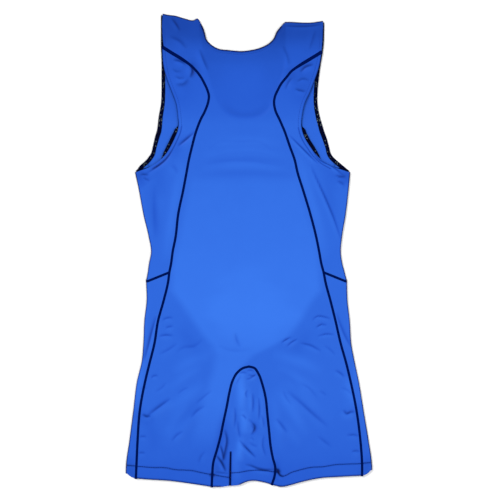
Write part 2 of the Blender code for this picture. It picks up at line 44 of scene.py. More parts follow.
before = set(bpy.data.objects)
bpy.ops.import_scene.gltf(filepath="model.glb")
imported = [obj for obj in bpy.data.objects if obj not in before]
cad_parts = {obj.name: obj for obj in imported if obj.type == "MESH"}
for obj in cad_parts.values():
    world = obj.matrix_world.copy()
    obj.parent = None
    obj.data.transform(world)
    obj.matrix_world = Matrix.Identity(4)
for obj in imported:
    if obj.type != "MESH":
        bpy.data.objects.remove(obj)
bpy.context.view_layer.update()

METRE = 0.001
LENGTH = 850.0
SIGN = {"left": -1.0, "right": 1.0}
SIDES = ("left", "right")

# The layers, as they lie on each other
CLOTH = 1.1
TAPE = 1.0
CLEARANCE = 0.3
TAPE_LAYERS_APART = 0.5
SEAM_GAP = 0.3
FRONT_SEAM_INSET = 30.0
SHOULDER_UNDER = 8.0
SLIT_HALF_WIDTH = 0.06
HEIGHT = 2.0 * (CLOTH + CLEARANCE + TAPE) + TAPE_LAYERS_APART
FOLD_RADIUS = HEIGHT / 2.0

# The tapes: their widths, how far they stand out of the cloth's edges, and how they turn inside its folds
ARMHOLE_TAPE_WIDTH = 7.5
NECK_TAPE_WIDTH = 7.0
ARMHOLE_TAPE_PROUD = 1.2
NECK_TAPE_PROUD = 0.5
TAPE_TURN_INSET = 0.6
TAPE_TURN_RADIUS = FOLD_RADIUS - CLOTH - CLEARANCE
TAPE_LOW = CLOTH + CLEARANCE
TAPE_HIGH = HEIGHT - CLOTH - CLEARANCE
UNDERARM_TAPE_DOWN = (281.5, 289.5)

Point = namedtuple("Point", "across down")
Level = namedtuple("Level", "down side_left seam_left seam_right side_right")
Yoke = namedtuple("Yoke", "down seam_left seam_right")
Armhole = namedtuple("Armhole", "down front_left back_left back_right front_right tape_out front_tape")
Pair = namedtuple("Pair", "left_across left_down right_across right_down")
Swell = namedtuple("Swell", "across down reach_across reach_down height")
Fold = namedtuple("Fold", "across down to_across to_down half_width height")
Crease = namedtuple("Crease", "width height line")
Shade = namedtuple("Shade", "down light")
Glow = namedtuple("Glow", "down left right light")
Streak = namedtuple("Streak", "width light line")
Patch = namedtuple("Patch", "points places light up out", defaults=(None,))


def table(kind, *rows):
    """A table's rows, with a name for each of their numbers."""
    return [kind(*row) for row in rows]


def drawn(kind, *rows):
    """A table of lines: each row has two numbers and then the places that its line runs through."""
    return [kind(*row[:2], row[2:]) for row in rows]


# The body and legs: a row for each level, with the outer folds and the two long back seams
BODY = table(
    Level,
    (835, -222, -203, 203, 222), (810, -221, -202, 203, 221), (767, -215, -200, 200, 215),
    (713, -208, -196, 193, 206), (659, -201, -186, 182, 197), (626, -193, -178, 174, 190),
    (594, -190, -170, 165, 184), (551, -188, -163, 155, 181), (515, -184, -153, 146, 177),
    (481, -185, -145, 137, 176), (465, -182, -143, 134, 172), (450, -180, -140, 130, 168),
    (428, -176, -137, 126, 165), (403, -180, -132, 121, 167), (360, -190, -127, 110, 174),
    (317, -198, -118, 97, 179), (285, -205, -112, 87, 182))

# The long back seams above the underarm, where they curve out to the straps
YOKE = table(
    Yoke,
    (263, -108, 82), (238, -102, 73), (212, -95, 64), (191, -87, 55), (173, -78, 47), (158, -73, 45),
    (148, -72, 47), (137, -75, 52), (126, -80, 58), (115, -86, 67), (104, -94, 76), (94, -104, 90),
    (83, -119, 108), (72, -137, 126))
SEAM_TOP = {"left": Point(-153, 62), "right": Point(130.5, 69)}

# The armhole edges of the front and the back, how far the tape stands out of the back edge, and how wide the
# tape of the front edge shows. The tip of the side panel lies a little below the end of the long seam
ARMHOLES = table(
    Armhole,
    (285, -202, -202, 179, 179, -0.6, 6.4), (274, -195, -175, 149, 168, -0.6, 7.0),
    (262, -182, -158, 129, 154, 0.0, 7.2), (258, -179, -154, 125, 150, 2.6, 7.2),
    (252, -175, -149, 119, 146, 5.4, 7.0), (241, -172, -142, 111, 143, 6.6, 6.6),
    (223, -168, -133, 100, 138, 6.8, 7.8), (209, -164, -127.5, 95, 133, 6.0, 8.0),
    (202, -163, -126.5, 94, 131, 1.0, 7.7), (185, -161, -127.5, 95, 126, 0.4, 7.2),
    (162, -157, -131, 100, 122, 0.4, 6.6), (140, -156, -139, 110, 122, 0.4, 6.6),
    (119, -156, -147, 118, 124, 0.5, 6.6), (90, -156, -154, 127, 128, 0.8, 6.6),
    (58, -157, -156, 132, 133, 1.2, 6.6), (29, -157, -156, 133, 134, 1.2, 6.6))
TIP_DROP = 2.0

# The neck edges of the back and of the lower front, from the middle out to each shoulder
NECK_CORNER_ROW = 4
BACK_NECK = table(
    Pair,
    (-12, 68, -12, 68), (-38, 66, 5, 66), (-54, 64, 23, 61), (-67, 57, 36, 54), (-76, 48, 44, 46),
    (-80, 34, 50, 33), (-85, 21, 57, 24))
FRONT_NECK = table(
    Pair,
    (-5, 188, -5, 188), (-27, 186, 16, 186), (-45, 176, 33, 175), (-57, 157, 44, 155), (-67, 128, 55, 126),
    (-76, 97, 63, 97), (-84, 58, 66, 58), (-89, 29, 66, 34))
NECK_TAPE_END = {"left": Point(-88, 16.5), "right": Point(62, 18.5)}

# The shoulder edges, where the straps turn over, from the armhole to the neck
SHOULDER = {
    "left": table(
        Point,
        (-155, 0), (-147, 2), (-132, 4), (-115, 9), (-100, 12), (-92, 9), (-89, 12)),
    "right": table(
        Point,
        (133, 13), (127, 14), (113, 16), (92, 16), (76, 15), (64, 15)),
}

# The arch seam of the gusset, from the hem up to its top, and the slit between the legs
ARCH = table(
    Pair,
    (-67, 850, 41, 846), (-66, 829, 46, 830), (-64, 806, 47, 814), (-58, 785, 43, 799), (-52, 763, 39, 778),
    (-46, 734, 36, 749), (-40, 706, 33, 720), (-35, 680, 30, 691), (-30, 661, 24, 666), (-22, 646, 17, 647),
    (-11, 637, 10, 637))
ARCH_TOP = Point(0, 634)
SLIT_ROW = 3
SLIT_TOP = Point(-32.8, 788)
SLIT_BOTTOM = Point(-34, 848)

# The leg hems, from the long seam in to the arch seam, and the gusset's hem on each side of the slit
HEM = {
    "left": table(
        Point,
        (-203, 835), (-178, 837), (-146, 839), (-106, 844), (-67, 850)),
    "right": table(
        Point,
        (203, 830), (164, 832), (124, 835), (92, 842), (74, 847), (58, 850), (41, 846)),
}
GUSSET_HEM = {
    "left": table(Point, (-67, 850), (-52, 850)),
    "right": table(Point, (41, 846), (23, 841), (7, 839), (-5, 841), (-16, 846)),
}
HEM_AT_FOLD = {"left": 826.0, "right": 820.0}
HEM_CORNER_SHARE = 0.7

# The line of stitches that holds each turned-up hem, and the hem's step and the ripple of its cloth there
HEM_STITCHES = {
    "left": table(
        Point,
        (-221, 811), (-200, 813), (-175, 815), (-149, 816), (-132, 819), (-101, 821), (-87, 824),
        (-73, 827), (-60, 829), (-43, 832), (-36.6, 833)),
    "right": table(
        Point,
        (-31.0, 825), (-18, 824), (-1, 821), (13, 820), (30, 821), (44, 823), (52, 824), (58, 831),
        (65, 830), (74, 825), (90, 820), (112, 815), (131, 814), (157, 810), (179, 809), (201, 808),
        (220, 806)),
}
HEM_STEP = 0.7
HEM_STEP_WIDTH = 4.0
RIPPLE_HEIGHT = 0.18
RIPPLE_RUN = 2.1
RIPPLE_DRIFT = 17.0
RIPPLE_SWAY = 1.5
RIPPLE_REACH = 6.0

# The cross seams at the hips: how far down they meet the long seams, and the fold at the side
CROSS_SEAM_DOWN = 465.0
CROSS_FOLD_DOWN = 481.0
UNDERARM_DOWN = 285.0
YOKE_TURN_DOWN = 148.0
FRONT_SEAM_TOP = {"left": Point(-185, 264), "right": Point(157, 264)}
FOLD_LEVEL_GAP = 5.0

# Cells along the borders that two pieces share, and across each piece. Each count can be divided by the
# coarse step, at which the inner face of the cloth is cut
COARSE = 3
LEG_CELLS = 186
WAIST_CELLS = 90
YOKE_CELLS = 72
BULGE_CELLS = 51
STRAP_CELLS = 30
FRONT_ARMHOLE_CELLS = 120
INNER_LEG_CELLS = 36
SLIT_END_CELLS = 9
ARCH_CELLS = 87
CROWN_CELLS = 9
GUSSET_CELLS = INNER_LEG_CELLS + SLIT_END_CELLS + ARCH_CELLS + CROWN_CELLS
CROWN_PARTS = {"left": 3, "right": 5}
BACK_COLUMNS = 93
FRONT_COLUMNS = 60
SIDE_COLUMNS = 36
LEG_SIDE_COLUMNS = 18
UNDER_COLUMNS = 12
FLAP_COLUMNS = 6
FOLD_CELLS = 12

# Cells along the tapes, the stitch lines and the shorter seams
TAPE_COLUMNS = 8
ARMHOLE_TAPE_CELLS = {"front": 112, "back": 120}
NECK_TAPE_CELLS = {"front": 136, "back": 104}
STITCH_LINE_CELLS = 90
HEM_STITCH_CELLS = 120
SHORT_SEAM_CELLS = 20

# Broad swells of the upper layer: where each is, how far it reaches and its height
SWELLS = table(
    Swell,
    (-14, 300, 70, 150, -1.2), (-8, 520, 46, 110, -1.0), (-98, 560, 62, 90, 0.7), (92, 566, 62, 90, 0.7),
    (-130, 740, 44, 90, -0.8), (118, 740, 46, 90, -0.8), (0, 730, 24, 60, -0.7))

# The largest folds of the upper layer: the two ends, the half width and the height of each
FOLDS = table(
    Fold,
    (-192, 724, -138, 692, 11, 1.5), (-140, 771, -88, 713, 11, 1.3), (-134, 608, -100, 597, 12, 1.0),
    (73, 679, 131, 733, 12, 1.5), (46, 735, 68, 766, 10, 1.2), (150, 716, 190, 716, 10, 1.2),
    (108, 278, 140, 337, 12, 1.3), (140, 337, 164, 412, 12, 1.2), (118, 578, 160, 576, 11, 1.0),
    (-98, 210, -124, 240, 10, 1.3), (68, 218, 104, 249, 10, 1.3), (-26, 574, -16, 600, 9, -1.0),
    (17, 690, 16, 740, 8, 1.2), (-29, 706, -36, 760, 8, 1.0))
FADE = 14.0
NECK_FADE_DOWN = 84.0
TAPER_POWER = 0.7

# Creases of the upper layer: the width, the height and the line of each. Along it runs a narrow valley, with
# a soft ridge on the side that lies further down the garment where the line runs to the right
# The valley also gets painted shade, and the ridge a painted highlight
CREASES = drawn(
    Crease,
    # Straps
    (4, 0.5, (-140, 8), (-131, 20), (-124, 32)), (5, 0.5, (-89, 64), (-82, 84), (-74, 103)),
    (5, 0.3, (60, 58), (68, 76), (72, 96)), (5, 0.2, (119, 30), (112, 52), (108, 66)),
    (3, 0.45, (64, 23), (92, 24), (113, 23), (131, 20)), (6, 0.3, (-143, 42), (-125, 50), (-112, 64)),
    # Yoke beside the long seams
    (5, 0.7, (-136, 84), (-124, 86), (-113, 92)), (6, 1.0, (-107, 90), (-102, 102), (-106, 116)),
    (6, 0.5, (-108, 118), (-118, 126), (-132, 127)), (4, 0.4, (-133, 113), (-125, 117), (-115, 116)),
    (4, 0.3, (-138, 100), (-130, 105), (-121, 104)), (5, 0.8, (92, 106), (101, 97), (116, 92)),
    (4, 0.5, (66, 137), (70, 126), (77, 116)), (4, 0.6, (82, 136), (92, 139), (102, 141)),
    (4, 0.4, (86, 123), (97, 118), (108, 121)),
    # Armholes
    (5, 1.0, (-128, 239), (-112, 226), (-97, 213)),
    (3, 1.0, (72, 219), (85, 232), (99, 246), (112, 259), (125, 271)),
    (4, 0.7, (-186, 289), (-167, 277), (-149, 263), (-137, 246)),
    (3, 0.9, (112, 247), (126, 263), (149, 275), (173, 294)),
    # Sides above the hip
    (4, 0.9, (110, 272), (122, 300), (138, 335), (151, 366), (165, 408)),
    (4, 0.5, (158, 301), (164, 304), (171, 309)), (8, 0.2, (-170, 306), (-171, 350), (-169, 404)),
    (6, 0.3, (-140, 272), (-134, 278), (-128, 288)), (4, 0.7, (-195, 289), (-187, 290), (-179, 291)),
    (4, 0.5, (-191, 294), (-185, 298), (-178, 301)), (4, 0.7, (155, 291), (165, 294), (174, 295)),
    # Middle of the back
    (5, 0.14, (-72, 248), (-62, 235), (-18, 231), (26, 234), (40, 248)),
    (5, 0.11, (-62, 256), (-20, 251), (14, 251), (46, 257)),
    (5, 0.12, (-86, 273), (-50, 266), (10, 266), (60, 275)),
    # Left hip
    (4, 0.6, (-156, 551), (-146, 547), (-136, 547)), (4, 0.6, (-150, 565), (-143, 563), (-136, 562)),
    (4, 0.7, (-162, 580), (-150, 578), (-136, 579)),
    (6, 0.3, (-131, 609), (-117, 600), (-99, 598), (-82, 585)),
    (5, 0.35, (-162, 613), (-143, 603), (-128, 592)),
    # Right hip
    (3, 0.9, (113, 551), (124, 544), (134, 545), (147, 549)), (3, 0.9, (120, 565), (129, 559), (140, 560)),
    (3, 0.8, (123, 580), (138, 576), (154, 577)), (3, 1.0, (58, 592), (66, 586), (77, 582)),
    (3, 0.9, (68, 598), (78, 590), (88, 585)), (4, 0.7, (91, 592), (109, 596), (130, 607)),
    (4, 0.35, (134, 596), (144, 603), (155, 614)),
    # Seat
    (5, 0.5, (-26, 573), (-23, 586), (-16, 600)), (6, 0.2, (-58, 596), (-30, 606), (4, 604)),
    # Sides below the hip
    (5, 0.6, (156, 536), (164, 560), (175, 585), (187, 605)),
    (5, 0.9, (-188, 624), (-181, 598), (-174, 570), (-166, 542)),
    # Left leg
    (5, 1.0, (-192, 720), (-184, 724), (-176, 723)), (6, 0.8, (-182, 722), (-162, 707), (-140, 691)),
    (5, 0.5, (-104, 726), (-93, 714), (-79, 705)), (5, 0.5, (-139, 769), (-130, 758), (-118, 750)),
    (4, 0.6, (-176, 655), (-170, 651), (-163, 651)), (4, 0.5, (-197, 761), (-191, 760), (-184, 761)),
    (4, 0.5, (-199, 790), (-192, 789), (-186, 790)), (4, 0.4, (-95, 701), (-80, 688), (-66, 677)),
    (5, 0.3, (-90, 808), (-86, 796), (-78, 786)), (4, 0.3, (-168, 680), (-156, 672), (-148, 662)),
    (4, 0.3, (-128, 684), (-118, 676), (-108, 672)), (4, 0.35, (-196, 676), (-189, 673), (-182, 674)),
    # Right leg
    (4, 0.35, (165, 672), (175, 676), (186, 686)), (4, 0.3, (126, 678), (133, 682), (139, 687)),
    (4, 0.3, (92, 664), (106, 672), (122, 690)), (4, 0.35, (60, 676), (66, 690), (76, 703)),
    (6, 0.55, (68, 678), (90, 697), (115, 720), (142, 743)), (5, 0.6, (48, 727), (57, 738), (68, 753)),
    (5, 1.0, (168, 712), (176, 719), (183, 716), (191, 716)), (4, 0.7, (154, 641), (162, 645), (171, 653)),
    (5, 0.35, (123, 759), (134, 768), (147, 778)), (4, 0.6, (175, 758), (186, 757), (198, 759)),
    (4, 0.6, (184, 787), (191, 786), (199, 787)),
    # Gusset
    (3, 0.7, (-17, 647), (-11, 645), (-4, 646)), (3, 0.6, (-4, 642), (3, 641), (9, 643)),
    (3, 0.6, (-2, 649), (5, 651), (12, 650)), (3, 0.8, (-6, 658), (3, 655), (14, 648)),
    (4, 0.7, (6, 681), (7, 700), (6, 717)), (4, 0.7, (17, 689), (18, 710), (17, 731)),
    (4, 0.55, (-26, 706), (-25, 725), (-27, 744)), (3, 0.7, (-3, 675), (-6, 682), (-4, 691)),
    (3, 0.9, (-13, 720), (-9, 724), (-5, 729)), (6, 0.45, (3, 738), (9, 746), (3, 757)),
    (4, 0.5, (-21, 731), (-19, 750), (-16, 764)), (4, 0.45, (22, 721), (25, 732), (26, 744)),
    (3, 0.5, (-15, 650), (-19, 657), (-24, 666)), (4, 0.5, (26, 756), (24, 776), (30, 796)),
    (4, 0.4, (0, 770), (8, 776), (16, 778)), (4, 0.6, (-3, 728), (5, 735), (10, 742), (8, 750), (3, 757)),
    (3, 0.4, (2, 761), (6, 764), (9, 767)), (4, 1.1, (-18, 765), (-13, 772), (-2, 784), (12, 798)),
    (5, 1.0, (-44, 747), (-40, 766), (-43, 785), (-47, 804)), (4, 1.0, (-52, 775), (-48, 789), (-46, 803)),
    (4, 1.2, (-59, 794), (-50, 806), (-42, 823)),
    (4, 0.9, (-8, 810), (5, 813), (14, 817), (30, 820), (46, 819)),
    (4, 0.8, (50, 818), (55, 829), (62, 833)), (3, 0.5, (-62, 824), (-50, 825), (-37, 827)))

# Creases of the lower layer, which only rise into the garment from the surface that it lies on
# Their valleys and ridges also put painted shade and highlight on the lower layer
UNDER_CREASES = drawn(
    Crease,
    (7, 0.7, (-150, 330), (-120, 352), (-96, 388)), (7, 0.6, (118, 318), (96, 352), (84, 392)),
    (8, 0.5, (-60, 248), (-20, 262), (24, 258), (60, 246)), (6, 0.6, (-128, 300), (-104, 308), (-84, 326)),
    (6, 0.6, (104, 290), (86, 304), (66, 326)), (8, 0.6, (-110, 470), (-70, 486), (-30, 482)),
    (8, 0.6, (104, 478), (66, 494), (30, 486)), (7, 0.8, (-130, 560), (-100, 584), (-58, 604)),
    (7, 0.8, (124, 556), (92, 584), (50, 606)), (6, 0.7, (-60, 566), (-34, 588), (-22, 612)),
    (6, 0.7, (56, 566), (34, 588), (22, 612)), (6, 0.8, (-176, 640), (-142, 668), (-96, 684)),
    (6, 0.8, (172, 632), (138, 664), (92, 690)), (5, 0.6, (-58, 690), (-80, 714), (-110, 742)),
    (5, 0.6, (48, 700), (72, 728), (104, 752)), (5, 0.6, (-172, 742), (-148, 758), (-120, 764)),
    (5, 0.6, (170, 730), (150, 752), (122, 766)), (4, 0.5, (-12, 668), (-10, 700), (-14, 730)),
    (4, 0.5, (10, 690), (12, 720), (8, 752)), (4, 0.5, (-6, 772), (10, 784), (26, 800)))

# What a crease's height makes of its ridge and its valley: their heights, their painted highlight and shade,
# and how far the painted shade reaches on its sharp side and on its soft side
RIDGE_HEIGHT = 0.6
RIDGE_WIDTH = 1.2
VALLEY_DEPTH = 1.2
VALLEY_WIDTH = 0.5
RIDGE_LIGHT = 0.11
VALLEY_SHADE = 0.50
SHARP_SIDE = 0.28
SOFT_SIDE = 0.70
CREASE_CELLS = 10

# How many widths away from its line each bell is still worked out
CREASE_REACH = 4.0
STREAK_REACH = 2.5
SEAM_REACH = 3.0

# Painted light and shade down the garment: how light the cloth's colour is painted at each level, where 1 is
# its lightest
SHADES = table(
    Shade,
    (0, 0.22), (40, 0.28), (65, 0.41), (95, 0.49), (150, 0.54), (182, 0.60), (200, 0.67), (300, 0.68),
    (500, 0.68), (700, 0.66), (749, 0.61), (794, 0.56), (817, 0.51), (850, 0.48))

# Painted pools of light on the back: the width of the soft edge, then where the pool lies at each level and
# how much lighter it is painted there
GLOWS = [
    (22.0, table(
        Glow,
        (276, -102, 88, 0.0), (292, -106, 90, 0.04), (308, -108, 92, 0.11), (335, -112, 97, 0.13),
        (407, -128, 121, 0.17), (461, -139, 128, 0.21), (497, -139, 128, 0.22), (524, -119, 108, 0.23),
        (551, -101, 93, 0.23), (578, -82, 72, 0.22), (596, -66, 44, 0.20), (614, -60, 8, 0.17),
        (641, -64, -20, 0.19), (695, -80, -40, 0.18), (749, -98, -54, 0.10), (785, -104, -60, 0.0))),
    (44.0, table(
        Glow,
        (440, -20, 16, 0.0), (461, -28, 32, 0.04), (480, -56, 34, 0.05), (500, -50, 62, 0.06),
        (515, -74, 62, 0.07), (542, -78, 88, 0.08), (560, -52, 70, 0.08), (575, -50, 56, 0.06),
        (587, -28, 52, 0.05), (605, -20, 16, 0.0))),
]

# Broad soft streaks of painted light and shade: how wide each is, how much lighter or darker it is painted,
# and its line. The same amount also raises or lowers the cloth, by the streak height
LIGHT_AND_SHADE_STREAKS = drawn(
    Streak,
    # Straps and yoke
    (14, -0.03, (-150, 12), (-128, 28), (-104, 24)), (24, -0.07, (-134, 70), (-124, 120), (-124, 180)),
    (22, -0.07, (116, 80), (100, 120), (104, 180)), (34, 0.05, (-52, 104), (-6, 120), (38, 104)),
    (7, -0.09, (-48, 160), (-30, 178), (-5, 183), (18, 178), (36, 160)),
    (14, -0.26, (-210, 278), (-196, 292), (-182, 308)), (14, -0.24, (188, 278), (174, 292), (160, 306)),
    (14, -0.10, (-172, 262), (-162, 300), (-158, 336)), (14, -0.10, (124, 256), (148, 290), (168, 316)),
    (7, -0.07, (-176, 300), (-169, 350), (-166, 412)), (9, -0.07, (136, 288), (146, 330), (157, 374)),
    (12, -0.12, (-180, 284), (-152, 262), (-124, 236), (-110, 216)),
    (10, -0.10, (-112, 84), (-98, 98), (-90, 112)), (10, -0.10, (70, 96), (76, 110), (72, 126)),
    (9, 0.05, (-140, 108), (-128, 128), (-118, 152)),
    # Below the scoop
    (8, 0.08, (-79, 236), (-7, 227), (65, 236)), (7, 0.08, (-88, 255), (-7, 247), (74, 257)),
    (7, 0.09, (-88, 278), (-7, 273), (74, 281)), (7, -0.07, (-96, 291), (-7, 287), (90, 292)),
    (6, -0.05, (-80, 267), (-7, 260), (66, 268)),
    # Sides above the hip
    (9, 0.14, (-118, 262), (-136, 353), (-150, 450)),
    (9, 0.14, (86, 245), (106, 317), (126, 385), (136, 446)),
    (10, -0.06, (-186, 300), (-176, 350), (-160, 400)),
    # Hips and seat
    (13, -0.08, (-128, 560), (-100, 596), (-82, 622)), (13, -0.08, (112, 566), (92, 596), (70, 616)),
    (6, -0.07, (-30, 574), (-25, 590), (-22, 606)), (8, 0.18, (-188, 515), (-193, 560), (-195, 610)),
    (8, 0.17, (-186, 616), (-196, 660), (-202, 712)), (8, 0.18, (184, 510), (190, 560), (194, 610)),
    (7, 0.14, (190, 626), (200, 670), (205, 706)), (9, 0.16, (176, 650), (185, 692), (190, 706)),
    # Left leg
    (10, 0.10, (-64, 606), (-104, 624), (-138, 646)), (7, 0.09, (-84, 634), (-114, 652), (-146, 676)),
    (10, 0.11, (-79, 664), (-115, 690), (-148, 714)), (8, 0.09, (-108, 700), (-132, 730), (-152, 762)),
    (10, -0.06, (-200, 716), (-176, 744), (-170, 790)), (10, -0.10, (-220, 792), (-212, 820), (-206, 846)),
    (9, 0.06, (-90, 713), (-124, 749), (-151, 776)), (9, -0.07, (-84, 690), (-116, 722), (-146, 744)),
    (8, -0.10, (-202, 714), (-186, 730), (-168, 726)),
    # Right leg
    (10, 0.13, (40, 612), (88, 624), (132, 646)), (8, 0.10, (48, 634), (84, 652), (128, 682)),
    (10, 0.11, (62, 656), (108, 690), (150, 728)), (9, 0.10, (50, 664), (80, 712), (104, 760)),
    (10, -0.08, (218, 786), (212, 812), (206, 836)), (8, 0.06, (47, 677), (70, 708), (92, 742)),
    (8, 0.06, (61, 731), (76, 754), (92, 778)), (8, 0.07, (42, 672), (50, 730), (56, 792)),
    (8, -0.07, (100, 676), (124, 700), (146, 726)), (7, -0.06, (54, 640), (78, 660), (98, 690)),
    # Gusset
    (9, 0.32, (-15, 636), (-14, 676), (-13, 722)), (8, 0.30, (-12, 712), (-8, 736), (-10, 758)),
    (7, 0.28, (-14, 756), (-17, 780), (-16, 806)), (2.2, -0.50, (-32.8, 785), (-33.6, 812), (-34, 864)),
    (7, -0.14, (-43, 716), (-54, 776), (-59, 842)), (8, -0.12, (-42, 730), (-46, 776), (-44, 826)),
    (3, -0.45, (-72, 828), (-66, 829), (-60, 830)), (3, -0.45, (44, 819), (51, 820), (56, 826)),
    (4, 0.10, (20, 664), (22, 704), (24, 756)), (14, 0.06, (6, 744), (8, 780), (6, 806)),
    (8, 0.14, (-25, 782), (-24, 812), (-20, 842)), (4, 0.10, (0, 668), (2, 700), (0, 730)),
    (8, -0.14, (44, 800), (49, 822), (50, 842)), (5, -0.16, (8, 734), (10, 742), (8, 752)))
STREAK_HEIGHT = 4.0
STREAK_CELLS = 8

# The step where the lower front's scoop leaves the upper layer unsupported, and the painted shade over the
# scoop
SCOOP_DEPTH = 0.8
SCOOP_STEP = 7.0
SCOOP_LIGHT = -0.06
SCOOP_TOP_DOWN = 70.0
SCOOP_TOP_REACH = 20.0

# The painted shade of the dark line at folds and open edges, and at rows of stitches, and the dip of the
# open edges
EDGE_WIDTH = 1.9
EDGE_SHADE = 0.70
ARMHOLE_EDGE_SHADE = 0.28
ARMHOLE_EDGE_WIDTH = 1.3
EDGE_DROP = 0.35
FOLD_SHADE = 1.10
FOLD_SHADE_POWER = 1.1
STITCH_SHADE = 0.34
STITCH_SHADE_WIDTH = 1.3

# The creep of the cloth beside a seam, and the groove of a row of stitches
PUCKER_REACH = 6.0
PUCKER_EVERY = 12.0
PUCKER_HEIGHT = 0.22
PUCKER_SWAY = 0.35
PUCKER_SWAY_RUN = 31.0
PUCKER_SIDE_SHIFT = 0.2
PUCKER_CHANGE = 0.45
PUCKER_CHANGE_RUN = 47.0
SEAM_LIFT = 0.8
SEAM_LIFT_REACH = 6.0
SEAM_TAIL = {"left": 2.5, "right": 0.5}
SEAM_SPREAD = 0.4
SPREAD_LENGTH = 70.0
STITCH_GROOVE = 0.35
STITCH_GROOVE_WIDTH = 2.4
STITCH_INSET = 5.5
# Below the first level the armhole's row of stitches gets painted shade; above the second, the back's
# armhole edge gets its dip and its painted shade
LOW_ARMHOLE_DOWN = 200.0
SLIVER_END_DOWN = 258.0

# The relief of a flat seam's threads, how steep its sides are, and how deep its band lies in the cloth
BAND_POINTS = 13
BAND_ROWS_PER_STITCH = 4.0
DOME_POWER = 5
THREAD_POWER = 8
SPREAD_EASE = 0.6
BAND_SINK = 0.1
BAND_DEPTH = 0.35
CROSSING_HEIGHT = 0.14
LENGTHWISE_HEIGHT = 0.05

# The single stitches: the size of each, the room between two, and the step at which their line is cut
STITCH_LENGTH = 2.7
STITCH_WIDTH = 0.9
STITCH_HEIGHT = 0.35
STITCH_SPACE = 1.3
HEM_STITCH_GAP = 0.5
STITCH_STEP = 0.5

# The looks: how much the random clouds and specks lighten the cloth, the painted light at the ends of its
# shaded and lit colours and the places of the two between, the wave scales of its ribs and loops at a pitch
# of a millimetre, and the size and the spread of the elastic's grip dots
CLOUD_LIGHT = 0.06
SPECK_LIGHT = 0.05
DARKEST = -0.145
LIGHTEST = 1.055
SHADE_STOP = 0.33
MIDDLE_STOP = 0.58
RIB_SCALE = 157.0
LOOP_SCALE = 100.0
DOT_SIZE = 0.27
DOT_SHARE = 0.52

# The stage
FLOOR_REACH = 20.0
FLOOR_DROP = 0.0002
ROOM_LIGHT = 0.70
FILL_SHARE = 0.64
VIEW_WIDTH = 0.8975
VIEW_CENTRE = (0.0018, 0.0002)
SENSOR_WIDTH = 36.0


def colour_value(name, description, default):
    """A colour that a user can change."""
    return FloatVectorProperty(name=name, description=description, default=default, subtype="COLOR",
                               min=0.0, max=1.0)


def length_value(name, description, default):
    """A length in metres that a user can change."""
    return FloatProperty(name=name, description=description, default=default, unit="LENGTH")


class SingletSizes(bpy.types.PropertyGroup):
    """Sizes and colours of the singlet."""

    crease_depth: FloatProperty(
        name="Crease depth", description="How deep the creases are, next to those modelled", default=1.0,
        min=0.0, max=2.0)
    seam_width: length_value("Seam width", "Width of a flat seam's threads", 0.0046)
    seam_proud: length_value("Seam height", "How far a flat seam stands out of the cloth", 0.0005)
    stitch_pitch: length_value("Stitch pitch", "Length of one stitch of a flat seam", 0.0026)
    knit_pitch: length_value("Knit pitch", "Distance between two ribs of the knitted cloth", 0.0006)
    # The cloth's blue in lit and shaded copies, from fully lit down to the darkest painted shade at a sharp
    # edge, which the painted light of each point picks between
    cloth_light: colour_value("Cloth", "Colour of the cloth where it is lightest", (0.027, 0.133, 0.600))
    cloth_middle: colour_value("Cloth at half light",
                               "Colour of the cloth between its lightest and its shade",
                               (0.011, 0.072, 0.445))
    cloth_shade: colour_value("Cloth in the shade", "Colour of the cloth in a crease",
                              (0.0035, 0.036, 0.265))
    cloth_dark: colour_value("Cloth at its darkest", "Colour of the cloth at a sharp edge",
                             (0.0, 0.003, 0.055))
    thread: colour_value("Thread", "Colour of the seam threads", (0.0, 0.0025, 0.050))
    elastic: colour_value("Elastic", "Colour of the elastic tapes", (0.0006, 0.0012, 0.012))
    floor: colour_value("Floor", "Colour of the surface", (0.82, 0.82, 0.82))
    key_light: FloatProperty(
        name="Key light", description="Strength of the large soft lamp", default=1.90, min=0.0)
    camera_height: length_value("Camera height", "Height of the camera over the surface", 2.6)


def sizes():
    """The scene's sizes and colours."""
    return bpy.context.scene.singlet


# Curves and patches in the plane

def run_of(line):
    """How far along a line each of its points is."""
    return np.concatenate(([0.0], np.cumsum(np.linalg.norm(np.diff(line, axis=0), axis=1))))


def smooth(points, spans):
    """Points at even steps along the smooth curve through the given points, a cubic between each two.

    Each pair in spans is the index of a given point and the number of cells that end there.
    """
    knots = np.array(points, float)
    run = run_of(knots)
    slope = np.gradient(knots, run, axis=0)
    starts = [0] + [last for last, _ in spans[:-1]]
    steps = [np.linspace(run[a], run[b], cells, endpoint=False) for a, (b, cells) in zip(starts, spans)]
    at = np.concatenate(steps + [[run[spans[-1][0]]]])
    i = np.clip(np.searchsorted(run, at, side="right") - 1, 0, len(run) - 2)
    span = (run[i + 1] - run[i])[:, None]
    f = (at - run[i])[:, None] / span
    blend = f * f * (3.0 - 2.0 * f)
    leave = f * (1.0 - f) ** 2 * span
    arrive = f * f * (f - 1.0) * span
    return (1.0 - blend) * knots[i] + blend * knots[i + 1] + leave * slope[i] + arrive * slope[i + 1]


def even(points, cells):
    """Points at even steps along one smooth curve."""
    return smooth(points, [(len(points) - 1, cells)])


def chain(*curves):
    """Curves joined end to start."""
    return np.concatenate([curves[0]] + [curve[1:] for curve in curves[1:]])


def along_side(curve):
    """The way along a curve and the way to its side, at each of its points."""
    along = np.gradient(curve, axis=0)
    along /= np.linalg.norm(along, axis=1)[:, None]
    return along, np.stack([-along[:, 1], along[:, 0]], axis=1)


def push(curve, distance):
    """A curve moved sideways by a distance, or by one for each point.

    It moves towards rising across where it runs up.
    """
    return curve + along_side(curve)[1] * np.broadcast_to(distance, len(curve))[:, None]


